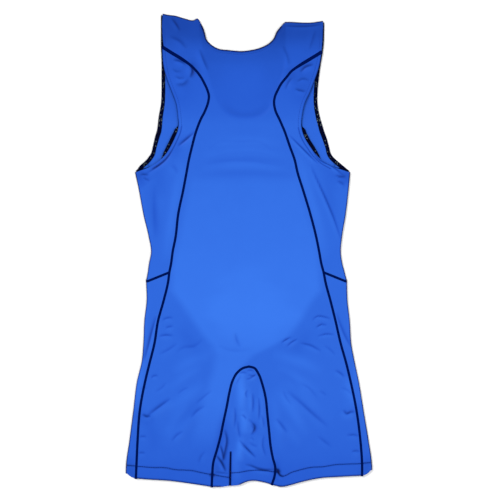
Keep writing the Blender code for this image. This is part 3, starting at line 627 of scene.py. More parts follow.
def patch(outer, inner, bottom, top):
    """A grid between four border curves: rows run from bottom to top, columns from outer to inner.

    It is the straight way between the sides, plus that between the ends, less that between the corners.
    """
    v = np.linspace(0.0, 1.0, len(outer))[:, None, None]
    u = np.linspace(0.0, 1.0, len(bottom))[None, :, None]
    sides = (1.0 - u) * outer[:, None] + u * inner[:, None]
    ends = (1.0 - v) * bottom[None, :] + v * top[None, :]
    corners = ((1.0 - u) * (1.0 - v) * outer[0] + u * (1.0 - v) * inner[0]
               + (1.0 - u) * v * outer[-1] + u * v * inner[-1])
    return sides + ends - corners


def straight(start, end, cells):
    """Points at even steps from one place to another."""
    t = np.linspace(0.0, 1.0, cells + 1)[:, None]
    return (1.0 - t) * np.array(start, float) + t * np.array(end, float)


def stepped(line, step):
    """A line cut again at even steps of its own length."""
    run = run_of(line)
    at = np.linspace(0.0, run[-1], max(int(run[-1] / step), 2) + 1)
    return read_along(at, run, line), at


def read_along(at, run, values):
    """Rows of values that belong to places along a line, read at other places along it."""
    return np.stack([np.interp(at, run, values[:, axis]) for axis in range(values.shape[1])], axis=1)


def lengthened(line, at_start, at_end):
    """A line drawn out straight at its ends."""
    start = line[0] + (line[0] - line[3]) / np.linalg.norm(line[0] - line[3]) * at_start
    end = line[-1] + (line[-1] - line[-4]) / np.linalg.norm(line[-1] - line[-4]) * at_end
    return np.concatenate([[start], line, [end]])


def finer(line, times):
    """A line with each of its straight steps cut into equal parts."""
    return np.array([line[i] + (line[i + 1] - line[i]) * part / times
                     for i in range(len(line) - 1) for part in range(times)] + [line[-1]])


def ease(value):
    """A soft step from 0 to 1: three times the square of the value, less twice its cube."""
    value = np.clip(value, 0.0, 1.0)
    return value * value * (3.0 - 2.0 * value)


def bell(off, width):
    """A bell curve: 1 in the middle, and down to about a third where off is the width."""
    return np.exp(-(off / width) ** 2)


def tapered(share):
    """A power of the sine of the share of the way along a line, so that it starts and ends softly."""
    return np.sin(math.pi * np.clip(share, 0.0, 1.0)) ** TAPER_POWER


def by_level(rows, name, down):
    """A column of a table read at any distance down."""
    rows = sorted(rows, key=lambda row: row.down)
    return np.interp(down, [row.down for row in rows], [getattr(row, name) for row in rows])


def by_across(points, across):
    """How far down a line of points is at any distance across."""
    return np.interp(across, [point.across for point in points], [point.down for point in points])


def near(places, line):
    """The distance of places to a line, signed by side, and how far along the line the nearest place is."""
    line = np.array(line, float)
    best = np.full(places.shape[:-1], 1e9)
    side = np.ones_like(best)
    at = np.zeros_like(best)
    run = 0.0
    for start, end in zip(line[:-1], line[1:]):
        step = end - start
        length = math.hypot(*step)
        off = places - start
        t = np.clip((off[..., 0] * step[0] + off[..., 1] * step[1]) / length ** 2, 0.0, 1.0)
        off = off - t[..., None] * step
        far = np.hypot(off[..., 0], off[..., 1])
        closer = far < best
        best = np.where(closer, far, best)
        side = np.where(closer, np.sign(step[0] * off[..., 1] - step[1] * off[..., 0]), side)
        at = np.where(closer, run + t * length, at)
        run += length
    return best * side, at


def only_near(places, line, reach):
    """Which places lie in the box round a line."""
    line = np.array(line, float)
    low, high = line.min(axis=0) - reach, line.max(axis=0) + reach
    return np.all((places > low) & (places < high), axis=-1)


# Border curves, each cut once for the pieces on both of its sides

def column(rows, name):
    """The places that one column of a table gives."""
    return [Point(getattr(row, name), row.down) for row in rows]


def half(rows, side):
    """The places that a table of pairs gives for one side."""
    return [Point(getattr(row, side + "_across"), getattr(row, side + "_down")) for row in rows]


def through(points, stops):
    """A smooth curve through points; stops lists the levels where spans end, with the cells of each."""
    downs = [point.down for point in points]
    return smooth(points, [(downs.index(down), cells) for down, cells in stops])


def seam(side):
    """The long back seam from the hem up to the strap."""
    points = column(BODY + YOKE, "seam_" + side) + [SEAM_TOP[side]]
    points[0] = HEM[side][0]
    return through(points, [(CROSS_SEAM_DOWN, LEG_CELLS), (UNDERARM_DOWN, WAIST_CELLS),
                            (YOKE_TURN_DOWN, YOKE_CELLS), (SEAM_TOP[side].down, BULGE_CELLS)])


def front_seam(side):
    """The front side seam from the hem up to the armhole, a fixed distance in from the fold."""
    inset = SIGN[side] * FRONT_SEAM_INSET
    points = [Point(point.across - inset, point.down) for point in column(BODY, "side_" + side)]
    points[0] = Point(points[0].across, HEM[side][0].down)
    points.append(FRONT_SEAM_TOP[side])
    return through(points, [(CROSS_SEAM_DOWN, LEG_CELLS), (FRONT_SEAM_TOP[side].down, WAIST_CELLS)])


def arch(side):
    """The arch seam from the hem up to its top."""
    crown = len(ARCH) - 1
    spans = [(SLIT_ROW, INNER_LEG_CELLS), (crown, SLIT_END_CELLS + ARCH_CELLS), (crown + 1, CROWN_CELLS)]
    return smooth(half(ARCH, side) + [ARCH_TOP], spans)


def beside_arch(side, gap):
    """The arch seam moved off its line, out of the gusset for a positive gap."""
    moved = push(arch(side), gap * SIGN[side])
    moved[-1] = (ARCH_TOP.across, ARCH_TOP.down - gap)
    return moved


def shoulder(side, cells):
    """Where the upper layer starts to turn over the shoulder, from the armhole to the neck."""
    return even([Point(point.across, point.down + FOLD_RADIUS) for point in SHOULDER[side]], cells)


def shoulder_seam(side, under, columns):
    """The straight seam under the shoulder, where the back's strap meets the front's."""
    ends = SHOULDER[side][0], SHOULDER[side][-1]
    return straight(*[Point(end.across, end.down + FOLD_RADIUS + under) for end in ends], columns)


def neck_line(rows):
    """A whole neck edge, from the left shoulder round to the right one."""
    return half(rows, "left")[::-1] + half(rows, "right")[1:]


def side_fold(side, first, last, cells):
    """Where the upper layer starts to turn under at a side, between two levels, from the lower one up."""
    inset = SIGN[side] * FOLD_RADIUS
    between = [row.down for row in BODY if last + FOLD_LEVEL_GAP < row.down < first - FOLD_LEVEL_GAP]
    levels = [first] + between + [last]
    return even([Point(by_level(BODY, "side_" + side, down) - inset, down) for down in levels], cells)


def fold_across(side, down):
    """How far across the upper layer starts to turn under, at any level of the body or legs."""
    line = chain(side_fold(side, HEM_AT_FOLD[side], CROSS_FOLD_DOWN, LEG_CELLS),
                 side_fold(side, CROSS_FOLD_DOWN, UNDERARM_DOWN, WAIST_CELLS))[::-1]
    return np.interp(down, line[:, 1], line[:, 0])


def hip_seam(side):
    """The cross seam at the hip, from the long seam out to the fold and on under to the front seam.

    Past the fold its places are measured along the cloth.
    """
    fold = fold_across(side, CROSS_FOLD_DOWN)
    start = Point(by_level(BODY, "seam_" + side, CROSS_SEAM_DOWN), CROSS_SEAM_DOWN)
    under = math.pi * FOLD_RADIUS + FRONT_SEAM_INSET - FOLD_RADIUS
    end = Point(fold + SIGN[side] * under, CROSS_SEAM_DOWN)
    at_fold = Point(fold, CROSS_FOLD_DOWN)
    return chain(straight(start, at_fold, SHORT_SEAM_CELLS), straight(at_fold, end, SHORT_SEAM_CELLS))


def armhole_stitch_line(side, layer="back"):
    """The line of stitches that holds the tape to an armhole edge, from the underarm up to the shoulder."""
    edge = even(column(ARMHOLES[1:], layer + "_" + side), STITCH_LINE_CELLS)
    return push(edge, -SIGN[side] * STITCH_INSET)


def neck_stitch_line(rows):
    """The line of stitches that holds the tape to a neck edge."""
    return push(even(neck_line(rows), STITCH_LINE_CELLS), STITCH_INSET)


# Heights and painted light and shade of the two layers

SEAM_LINES = {}


def seam_lines():
    """The seams, stitch lines and open edges that shape and shade the cloth, worked out once."""
    if not SEAM_LINES:
        SEAM_LINES["upper"] = [line for side in SIDES for line in (seam(side)[::6], arch(side)[::4])]
        SEAM_LINES["lower"] = [line for side in SIDES
                               for line in (front_seam(side)[::6], arch(side)[::4], hip_seam(side)[::4],
                                            shoulder_seam(side, SHOULDER_UNDER, 2),
                                            armhole_stitch_line(side, "front")[::3])]
        SEAM_LINES["lower"].append(neck_stitch_line(FRONT_NECK)[::3])
        SEAM_LINES["armhole"] = [armhole_stitch_line(side)[::3] for side in SIDES]
        SEAM_LINES["low armhole"] = [line[line[:, 1] > LOW_ARMHOLE_DOWN] for line in SEAM_LINES["armhole"]]
        SEAM_LINES["neck"] = [neck_stitch_line(BACK_NECK)[::3]]
        SEAM_LINES["hem"] = [even(HEM_STITCHES[side], 40) for side in SIDES]
        whole = [even(column(ARMHOLES, "back_" + side), 60) for side in SIDES]
        SEAM_LINES["armhole edge"] = [line[line[:, 1] < SLIVER_END_DOWN] for line in whole]
        SEAM_LINES["edges"] = [even(neck_line(BACK_NECK), 30)]
        for side in SIDES:
            SEAM_LINES["edges"] += [even(HEM[side], 16), even(GUSSET_HEM[side], 8)]
    return SEAM_LINES


def below_hem_line(places):
    """How far places are below the line of stitches of the hems."""
    return places[..., 1] - by_across(HEM_STITCHES["left"] + HEM_STITCHES["right"], places[..., 0])


def room_to_edge(across, down):
    """How far a place on the upper layer is from the nearest fold or open edge, except the hems."""
    low = down > UNDERARM_DOWN
    left, right = (np.where(low, by_level(BODY, "side_" + side, down),
                            by_level(ARMHOLES, "back_" + side, down)) for side in SIDES)
    slit = np.abs(across - SLIT_TOP.across) - FOLD_RADIUS - SLIT_HALF_WIDTH
    above_slit = np.maximum(SLIT_TOP.down - down, 0.0)
    room = np.minimum(np.minimum(across - left, right - across), down - NECK_FADE_DOWN)
    return np.minimum(room, np.hypot(np.maximum(slit, 0.0), above_slit) - FOLD_RADIUS)


def creased(places, creases):
    """Height of creases, and how much they shade the cloth.

    Along each line there is a narrow bell-shaped valley, and beside it a wider bell-shaped ridge. Both are
    tapered along the line. The valley gets painted shade and the ridge a painted highlight, each by its own
    height.
    """
    rise = np.zeros(places.shape[:-1])
    shade = np.zeros(places.shape[:-1])
    depth = sizes().crease_depth
    for crease in creases:
        line = even(crease.line, CREASE_CELLS)
        here = only_near(places, line, crease.width * CREASE_REACH)
        if here.any():
            off, at = near(places[here], line)
            size = depth * crease.height * tapered(at / run_of(line)[-1])
            ridge = bell(off - crease.width, RIDGE_WIDTH * crease.width)
            valley = bell(off, VALLEY_WIDTH * crease.width)
            dark = bell(off, np.where(off > 0.0, SHARP_SIDE, SOFT_SIDE) * crease.width)
            rise[here] += size * (RIDGE_HEIGHT * ridge - VALLEY_DEPTH * valley)
            shade[here] += size * (RIDGE_LIGHT * ridge - VALLEY_SHADE * dark)
    return rise, shade


def puckered(places, lines):
    """Small waves of the cloth beside seams: a sine along the seam that fades as a bell away from it."""
    rise = np.zeros(places.shape[:-1])
    for line in lines:
        here = only_near(places, line, PUCKER_REACH * SEAM_REACH)
        off, at = near(places[here], line)
        sway = PUCKER_SWAY * np.sin(at / PUCKER_SWAY_RUN)
        turns = at / PUCKER_EVERY + sway + PUCKER_SIDE_SHIFT * np.sign(off)
        strength = 1.0 - PUCKER_CHANGE + PUCKER_CHANGE * np.sin(at / PUCKER_CHANGE_RUN + 1.0)
        rise[here] += PUCKER_HEIGHT * strength * np.sin(2.0 * math.pi * turns) * bell(off, PUCKER_REACH)
    return rise


def grooved(places, lines, depth, width):
    """A bell-shaped groove along lines: a dip in height, or a line of painted shade where it lowers the
    light.
    """
    rise = np.zeros(places.shape[:-1])
    for line in lines:
        here = only_near(places, line, width * CREASE_REACH)
        off, _ = near(places[here], line)
        rise[here] = np.minimum(rise[here], -depth * bell(off, width))
    return rise


def streak_light(places):
    """Painted light and shade of the broad streaks: a bell across each line, tapered along it."""
    light = np.zeros(places.shape[:-1])
    for streak in LIGHT_AND_SHADE_STREAKS:
        line = even(streak.line, STREAK_CELLS)
        here = only_near(places, line, streak.width * STREAK_REACH)
        if here.any():
            off, at = near(places[here], line)
            light[here] += streak.light * tapered(at / run_of(line)[-1]) * bell(off, streak.width)
    return light


def glowing(places, edge, rows):
    """Extra painted light between a table's left and right edges, with an eased step at each."""
    across, down = places[..., 0], places[..., 1]
    from_left = (across - by_level(rows, "left", down)) / edge
    from_right = (by_level(rows, "right", down) - across) / edge
    return by_level(rows, "light", down) * ease(from_left + 0.5) * ease(from_right + 0.5)


def in_scoop(places):
    """1 where the lower front's scoop leaves the upper layer unsupported, and softly 0 past its edge."""
    off, _ = near(places, even(neck_line(FRONT_NECK), 60))
    return ease(0.5 - off / SCOOP_STEP)


def relief(places):
    """Height of the upper layer over the flat cloth.

    It is the sum of swells, folds, streaks, creases, puckers and grooves, with the steps of scoop and hems.
    A swell is a bell round its middle, and a fold is a bell across its line, tapered along it.
    """
    across, down = places[..., 0], places[..., 1]
    lines = seam_lines()
    inside = ease(room_to_edge(across, down) / FADE)
    rise = np.zeros_like(across)
    for swell in SWELLS:
        far_across = (across - swell.across) / swell.reach_across
        far_down = (down - swell.down) / swell.reach_down
        rise += swell.height * np.exp(-(far_across ** 2 + far_down ** 2))
    for fold in FOLDS:
        run = np.array([fold.to_across - fold.across, fold.to_down - fold.down])
        length = np.linalg.norm(run)
        along = ((across - fold.across) * run[0] + (down - fold.down) * run[1]) / length
        beside = ((across - fold.across) * run[1] - (down - fold.down) * run[0]) / length
        rise += 0.5 * fold.height * tapered(along / length) * bell(beside, fold.half_width)
    rise *= inside
    rise += STREAK_HEIGHT * streak_light(places) * inside
    rise += creased(places, CREASES)[0] + puckered(places, lines["upper"])
    rise += grooved(places, lines["edges"] + lines["armhole edge"], EDGE_DROP, EDGE_WIDTH)
    rise -= SCOOP_DEPTH * in_scoop(places) * ease((down - SCOOP_TOP_DOWN) / SCOOP_TOP_REACH)
    rise += grooved(places, lines["armhole"] + lines["neck"], STITCH_GROOVE, STITCH_GROOVE_WIDTH)
    below = below_hem_line(places)
    rise += HEM_STEP * ease(below / HEM_STEP_WIDTH + 0.5)
    rise -= STITCH_GROOVE * bell(below, STITCH_GROOVE_WIDTH)
    ripple = np.sin(across / RIPPLE_RUN + RIPPLE_SWAY * np.sin(across / RIPPLE_DRIFT))
    return rise + RIPPLE_HEIGHT * ripple * bell(below, RIPPLE_REACH)


def under_relief(places):
    """How far the lower layer rises off the surface: the highest of its creases and its seams."""
    rise = np.maximum(creased(places, UNDER_CREASES)[0], 0.0)
    for line in seam_lines()["lower"]:
        here = only_near(places, line, SEAM_LIFT_REACH * SEAM_REACH)
        off, _ = near(places[here], line)
        rise[here] = np.maximum(rise[here], SEAM_LIFT * bell(off, SEAM_LIFT_REACH))
    return np.maximum(rise, SEAM_LIFT * bell(below_hem_line(places), SEAM_LIFT_REACH))


def light_of(places):
    """The painted light and shade of the upper layer's cloth: its level's light, then glows, streaks,
    creases and edges.
    """
    light = by_level(SHADES, "light", places[..., 1])
    for edge, rows in GLOWS:
        light += glowing(places, edge, rows)
    lines = seam_lines()
    light += streak_light(places) + SCOOP_LIGHT * in_scoop(places) + creased(places, CREASES)[1]
    light += grooved(places, lines["edges"], EDGE_SHADE, EDGE_WIDTH)
    light += grooved(places, lines["armhole edge"], ARMHOLE_EDGE_SHADE, ARMHOLE_EDGE_WIDTH)
    light += grooved(places, lines["low armhole"] + lines["hem"], STITCH_SHADE, STITCH_SHADE_WIDTH)
    return light


def under_light(places):
    """The painted light and shade of the lower layer's cloth: the level's own light, its creases and its
    stitch rows.
    """
    light = by_level(SHADES, "light", places[..., 1]) + creased(places, UNDER_CREASES)[1]
    return light + grooved(places, seam_lines()["hem"], STITCH_SHADE, STITCH_SHADE_WIDTH)


# Patches in space, each with its flat places for the knit and its painted light and shade

UPWARDS = np.array([0.0, 0.0, 1.0])


def in_space(places, height):
    """Places as points in space, in millimetres of the frame."""
    height = np.broadcast_to(height, places.shape[:-1])
    return np.stack([places[..., 0], LENGTH / 2.0 - places[..., 1], height], axis=-1)


def on_upper(places, lift):
    """Points at the height of the flat cloth and its relief, or a little way over the upper layer."""
    return in_space(places, HEIGHT + relief(places) + lift)


def on_lower(places, lift):
    """Points on the surface but for the creases and seams, or a little way under the lower layer."""
    return in_space(places, under_relief(places) - lift)


def on_side(side):
    """Points over a side's cloth: on the upper layer, round the fold, and on under the lower layer.

    A place past the fold's start is measured along the cloth, so that a seam keeps its width round the fold.
    """
    sign = SIGN[side]

    def place(places, lift):
        down = places[..., 1]
        start = fold_across(side, down)
        past = sign * (places[..., 0] - start)
        angle = np.clip(past / FOLD_RADIUS, 0.0, math.pi)
        beyond = np.maximum(past - math.pi * FOLD_RADIUS, 0.0)
        out = np.minimum(past, 0.0) + (FOLD_RADIUS + lift) * np.sin(angle) - beyond
        flat = np.stack([start + sign * out, down], axis=-1)
        bottom = under_relief(flat)
        room = HEIGHT + relief(flat) - bottom
        return in_space(flat, bottom + room * (1.0 + np.cos(angle)) / 2.0 + lift * np.cos(angle))

    return place


def upper(places):
    """The upper layer's outer face."""
    return Patch(on_upper(places, 0.0), places, light_of(places), True, UPWARDS)


def lower(places):
    """The lower layer's outer face."""
    return Patch(on_lower(places, 0.0), places, under_light(places), False, -UPWARDS)


def turned(start, bulge):
    """A round fold from the upper layer to the lower one: half an ellipse whose height follows both layers.

    start holds the places where the upper layer ends, and bulge the way that the fold stands out at each.
    """
    angle = np.linspace(0.0, math.pi, FOLD_CELLS + 1)
    bulge = np.broadcast_to(bulge, start.shape)
    places = start[:, None] + FOLD_RADIUS * np.sin(angle)[None, :, None] * bulge[:, None]
    bottom = under_relief(start)[:, None]
    height = bottom + ((HEIGHT + relief(start))[:, None] - bottom) * (1.0 + np.cos(angle)) / 2.0
    flat = start[:, None] + FOLD_RADIUS * angle[None, :, None] * bulge[:, None]
    level = np.stack([bulge[:, 0], -bulge[:, 1], np.zeros(len(bulge))], axis=-1)[:, None]
    out = np.sin(angle)[None, :, None] * level + np.cos(angle)[None, :, None] * UPWARDS
    share = (1.0 - np.cos(angle)) / 2.0
    light = light_of(start)[:, None] * (1.0 - share) + under_light(start)[:, None] * share
    # Painted shade, darkest where the fold turns furthest out
    light = light - FOLD_SHADE * np.sin(angle) ** FOLD_SHADE_POWER
    return Patch(in_space(places, height), flat, light, True, out)


# Meshes

MERGE_STEPS = 10000.0
NEAR_CELLS = (-2, -1, 0, 1, 2)


def quads_of(part, index):
    """The four-sided faces of a patch's grid of numbered corners, turned outwards."""
    quads = np.stack([index[..., :-1, :-1], index[..., :-1, 1:], index[..., 1:, 1:], index[..., 1:, :-1]],
                     axis=-1)
    rows, columns = part.points.shape[-3:-1]
    sample = part.points[..., :max(rows // 4, 2), :max(columns // 4, 2), :]
    over_rows = np.diff(sample, axis=-3)[..., :, :-1, :]
    over_columns = np.diff(sample, axis=-2)[..., 1:, :, :]
    rising = np.cross(over_columns, over_rows)[..., 2].sum() > 0.0
    quads = quads.reshape(-1, 4)
    return quads if rising == part.up else quads[:, ::-1]


def cleaned(faces):
    """Faces without the corners that merged into the one before, and without the faces left empty."""
    repeats = faces == np.roll(faces, 1, axis=1)
    kept = faces[~repeats.any(axis=1)].tolist()
    for face in faces[repeats.any(axis=1)]:
        corners = [int(corner) for corner, before in zip(face, np.roll(face, 1)) if corner != before]
        if len(set(corners)) > 2:
            kept.append(corners)
    return kept


def spread_out(part):
    """A patch with its flat places and its light given for each of its points."""
    shape = part.points.shape[:-1]
    places = np.broadcast_to(part.places, shape + (2,))
    return part._replace(places=places, light=np.broadcast_to(part.light, shape))


def joined(patches):
    """Patches joined where they touch: points, faces, flat places, light and each patch's numbered grid."""
    patches = [spread_out(part) for part in patches]
    points = np.concatenate([part.points.reshape(-1, 3) for part in patches])
    places = np.concatenate([part.places.reshape(-1, 2) for part in patches])
    light = np.concatenate([part.light.reshape(-1) for part in patches])
    keys = np.round(points * MERGE_STEPS).astype(np.int64)
    _, first, number = np.unique(keys, axis=0, return_index=True, return_inverse=True)
    parts = np.split(number.reshape(-1), np.cumsum([part.light.size for part in patches])[:-1])
    grids = [row.reshape(part.light.shape) for row, part in zip(parts, patches)]
    faces = np.concatenate([quads_of(part, grid) for part, grid in zip(patches, grids)])
    return points[first], faces, places[first], light[first], grids


def thinned(part, wall):
    """The inner face of a patch's cloth: every few rows and columns, moved inwards.

    On a layer that lies level, each point goes in from the lowest place near it, so that the coarser inner
    face stays inside every crease of the outer one.
    """
    part = spread_out(part)
    points = part.points.copy()
    if part.out is UPWARDS:
        around = np.pad(points[..., 2], COARSE, mode="edge")
        rows, columns = points.shape[:2]
        points[..., 2] = np.min([around[COARSE + r:COARSE + r + rows, COARSE + c:COARSE + c + columns]
                                 for r in NEAR_CELLS for c in NEAR_CELLS], axis=0)
        for edge in (np.s_[0], np.s_[-1], np.s_[:, 0], np.s_[:, -1]):
            points[edge] = part.points[edge]
    points -= wall * part.out
    few = np.s_[::COARSE, ::COARSE]
    return part._replace(points=points[few], places=part.places[few], light=part.light[few])


def borders_of(grid):
    """A grid's four border lines of numbered corners."""
    return grid[0], grid[-1], grid[:, 0], grid[:, -1]


def rims(outer_grids, inner_grids, directed, many):
    """Faces that close the cloth's open edges, each from a few steps of the outer face to one of the inner.

    A border step is open if no other face uses it the other way round.
    """
    found = []
    for outer, inner in zip(outer_grids, inner_grids):
        for long, short in zip(borders_of(outer), borders_of(inner)):
            steps = np.stack([long[i:len(long) - COARSE + i:COARSE] for i in range(COARSE + 1)], axis=1)
            forward = np.isin(steps[:, 0] * many + steps[:, 1], directed)
            backward = np.isin(steps[:, 1] * many + steps[:, 0], directed)
            pairs = np.stack([short[:-1], short[1:]], axis=1)
            ahead, back = forward & ~backward, backward & ~forward
            found.append(np.concatenate([steps[ahead][:, ::-1], pairs[ahead]], axis=1))
            found.append(np.concatenate([steps[back], pairs[back][:, ::-1]], axis=1))
    return np.concatenate(found)


def shell(patches, wall):
    """Cloth with two faces: a fine outer one, a coarser inner one, and rims along its open edges."""
    outer, faces, *outer_values, outer_grids = joined(patches)
    inner, inner_faces, *inner_values, inner_grids = joined([thinned(part, wall) for part in patches])
    many = len(outer)
    directed = np.concatenate([faces[:, i] * many + faces[:, (i + 1) % 4] for i in range(4)])
    edges = rims(outer_grids, [grid + many for grid in inner_grids], directed, many)
    all_faces = cleaned(faces) + cleaned(inner_faces[:, ::-1] + many) + cleaned(edges)
    places, light = (np.concatenate(pair) for pair in zip(outer_values, inner_values))
    return np.concatenate([outer, inner]), all_faces, places, light


def make_piece(name, patches, finish, nodes=(), wall=0.0, solidified=False):
    """One piece: its patches joined, with a wall inwards if it has one, riding on the frame."""
    if wall and not solidified:
        points, faces, places, light = shell(patches, wall)
    else:
        points, faces, places, light, _ = joined(patches)
        faces = cleaned(faces)
    mesh = bpy.data.meshes.new(name)
    mesh.from_pydata(points * METRE, [], faces)
    corners = np.zeros(len(mesh.loops), np.int32)
    mesh.loops.foreach_get("vertex_index", corners)
    layer = mesh.uv_layers.new(name="knit")
    layer.data.foreach_set("uv", (places[corners] * METRE).astype(np.float32).ravel())
    # Each point's painted light and shade, from which the cloth's colour is mixed; seam threads read it as
    # the place across their band
    shade = mesh.attributes.new("light", "FLOAT", "POINT")
    shade.data.foreach_set("value", light.astype(np.float32))
    mesh.materials.append(finish_of(finish))
    mesh.shade_smooth()
    piece = bpy.data.objects.new(name, mesh)
    bpy.context.scene.collection.objects.link(piece)
    if solidified:
        thick = piece.modifiers.new("wall", "SOLIDIFY")
        thick.thickness = wall * METRE
        thick.offset = -1.0
        thick.use_rim = True
    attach(piece, "root")
    if nodes:
        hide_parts(*nodes)
    return piece


def cloth_piece(name, patches, cad_node):
    """A piece of cloth that takes the place of its CAD node."""
    return make_piece(name, patches, "satin_knit", [cad_node], CLOTH)


# Cloth

def back_half(side):
    """The centre back on one side of the middle line, with its strap turned over the shoulder."""
    line = push(seam(side), -SIGN[side] * SEAM_GAP / 2.0)
    top = shoulder(side, BACK_COLUMNS)
    outer = chain(line, even([line[-1]] + column(ARMHOLES[-1:], "back_" + side) + [top[0]], STRAP_CELLS))
    edge = beside_arch(side, SEAM_GAP / 2.0)
    neck_edge = smooth(half(BACK_NECK, side) + [top[-1]],
                       [(NECK_CORNER_ROW, BULGE_CELLS), (len(BACK_NECK), STRAP_CELLS)])
    middle = straight(edge[-1], neck_edge[0], LEG_CELLS + WAIST_CELLS + YOKE_CELLS - GUSSET_CELLS)
    inner = chain(edge, middle, neck_edge)
    hem = even([outer[0]] + HEM[side][1:-1] + [inner[0]], BACK_COLUMNS)
    rows = np.linspace(0.0, 1.0, FLAP_COLUMNS + 1)[None, :, None]
    under = (1.0 - rows) * top[:, None] + rows * shoulder_seam(side, SHOULDER_UNDER, BACK_COLUMNS)[:, None]
    return [upper(patch(outer, inner, hem, top)), turned(top, np.array([0.0, -1.0])), lower(under)]


def front_half(side):
    """The centre front on one side of the middle line, flat on the surface."""
    line = push(front_seam(side), -SIGN[side] * SEAM_GAP / 2.0)
    top = shoulder_seam(side, SHOULDER_UNDER + SEAM_GAP, FRONT_COLUMNS)
    armhole = column(ARMHOLES[2:], "front_" + side)
    outer = chain(line, even([line[-1]] + armhole + [top[0]], FRONT_ARMHOLE_CELLS))
    edge = beside_arch(side, SEAM_GAP / 2.0)
    neck_edge = even(half(FRONT_NECK, side) + [top[-1]], FRONT_ARMHOLE_CELLS)
    inner = chain(edge, straight(edge[-1], neck_edge[0], LEG_CELLS + WAIST_CELLS - GUSSET_CELLS), neck_edge)
    hem = even([outer[0]] + HEM[side][2:-1] + [inner[0]], FRONT_COLUMNS)
    return [lower(patch(outer, inner, hem, top))]


def side_panel(side, above_hip):
    """A side panel above or below the hip: over the top, round the fold and under to the front seam.

    Above, its outer edge goes on from the fold round the armhole to the tip below the strap. Below, its hem
    bends up to the fold.
    """
    gap = SEAM_GAP / 2.0
    cells, end, shift = (np.s_[LEG_CELLS:], 0, -gap) if above_hip else (np.s_[:LEG_CELLS + 1], -1, gap)
    inner, front_edge = (push(line[cells], SIGN[side] * gap) for line in (seam(side), front_seam(side)))
    inner[end, 1] += shift
    front_edge[end, 1] += shift
    if above_hip:
        fold = side_fold(side, CROSS_FOLD_DOWN - gap, UNDERARM_DOWN, WAIST_CELLS)
        tip_down = SEAM_TOP[side].down + TIP_DROP
        tip = Point(by_level(ARMHOLES, "back_" + side, tip_down), tip_down)
        armhole = column(ARMHOLES[1:-2], "back_" + side)
        outer = chain(fold, even([fold[-1]] + armhole + [tip], YOKE_CELLS + BULGE_CELLS))
        columns = SIDE_COLUMNS
        bottom = straight(outer[0], inner[0], columns)
    else:
        outer = fold = side_fold(side, HEM_AT_FOLD[side], CROSS_FOLD_DOWN + gap, LEG_CELLS)
        columns = LEG_SIDE_COLUMNS
        down = HEM[side][0].down * HEM_CORNER_SHARE + HEM_AT_FOLD[side] * (1.0 - HEM_CORNER_SHARE)
        bottom = even([fold[0], Point((fold[0, 0] + inner[0, 0]) / 2.0, down), inner[0]], columns)
    over = patch(outer, inner, bottom, straight(outer[-1], inner[-1], columns))
    under = patch(fold, front_edge, straight(fold[0], front_edge[0], UNDER_COLUMNS),
                  straight(fold[-1], front_edge[-1], UNDER_COLUMNS))
    return [upper(over), turned(fold, np.array([SIGN[side], 0.0])), lower(under)]


def gusset_half(side):
    """The gusset on one side of the slit: the arch above, the round inner leg, and the arch below."""
    sign = SIGN[side]
    rim = SLIT_HALF_WIDTH + FOLD_RADIUS
    leg = straight(Point(SLIT_BOTTOM.across + sign * rim, SLIT_BOTTOM.down),
                   Point(SLIT_TOP.across + sign * rim, SLIT_TOP.down), INNER_LEG_CELLS)
    angle = np.linspace(0.0, math.pi / 2.0, SLIT_END_CELLS + 1)[:, None]
    spoke = np.concatenate([sign * np.cos(angle), -np.sin(angle)], axis=1)
    fold_start = chain(leg, np.array(SLIT_TOP) + rim * spoke)
    bulge = np.concatenate([np.tile([-sign, 0.0], (INNER_LEG_CELLS, 1)), -spoke])
    edge = beside_arch(side, -SEAM_GAP / 2.0)
    outer = edge[:GUSSET_CELLS - CROWN_CELLS + 1]
    inner = chain(fold_start, straight(fold_start[-1], edge[-1], ARCH_CELLS))
    hem = even([outer[0]] + GUSSET_HEM[side][1:] + [inner[0]], CROWN_CELLS * CROWN_PARTS[side])
    sheet = patch(outer, inner, hem, finer(edge[-CROWN_CELLS - 1:], CROWN_PARTS[side]))
    return [upper(sheet), turned(fold_start, bulge), lower(sheet)]


# Tapes

def strip(edge, width, proud, cloth_side, height):
    """A tape along a cloth edge: its outer line stands proud of it, and its inner line lies on the cloth."""
    shares = np.linspace(0.0, 1.0, TAPE_COLUMNS + 1)
    lines = [push(edge, cloth_side * (width * share - proud)) for share in shares]
    return in_space(np.stack(lines, axis=1), height)


def tape_turn(first, last, bulge):
    """Rows that carry a tape round inside a fold, along half a circle between its rows on the two layers."""
    angle = np.linspace(0.0, math.pi, FOLD_CELLS + 1)[1:-1][:, None, None]
    mix = (1.0 - np.cos(angle)) / 2.0
    middle = (1.0 - mix) * first[None] + mix * last[None]
    rising = np.sign(last[0, 2] - first[0, 2])
    middle[..., 2] = HEIGHT / 2.0 - rising * TAPE_TURN_RADIUS * np.cos(angle[..., 0])
    return np.concatenate([first[None], middle + TAPE_TURN_RADIUS * np.sin(angle) * np.array([*bulge, 0.0]),
                           last[None]])


def shoulder_turn(side, first, last):
    """A tape's turn inside the shoulder fold, between its end rows set straight across under the fold."""
    rows = []
    for row in (first, last):
        row = row.copy()
        across = np.linspace(row[0, 0], row[-1, 0], TAPE_COLUMNS + 1)
        lowest = by_across(sorted(SHOULDER[side]), across).max()
        row[:, 1] = LENGTH / 2.0 - (lowest + FOLD_RADIUS + TAPE_TURN_INSET)
        rows.append(row)
    return tape_turn(*rows, (0.0, 1.0))


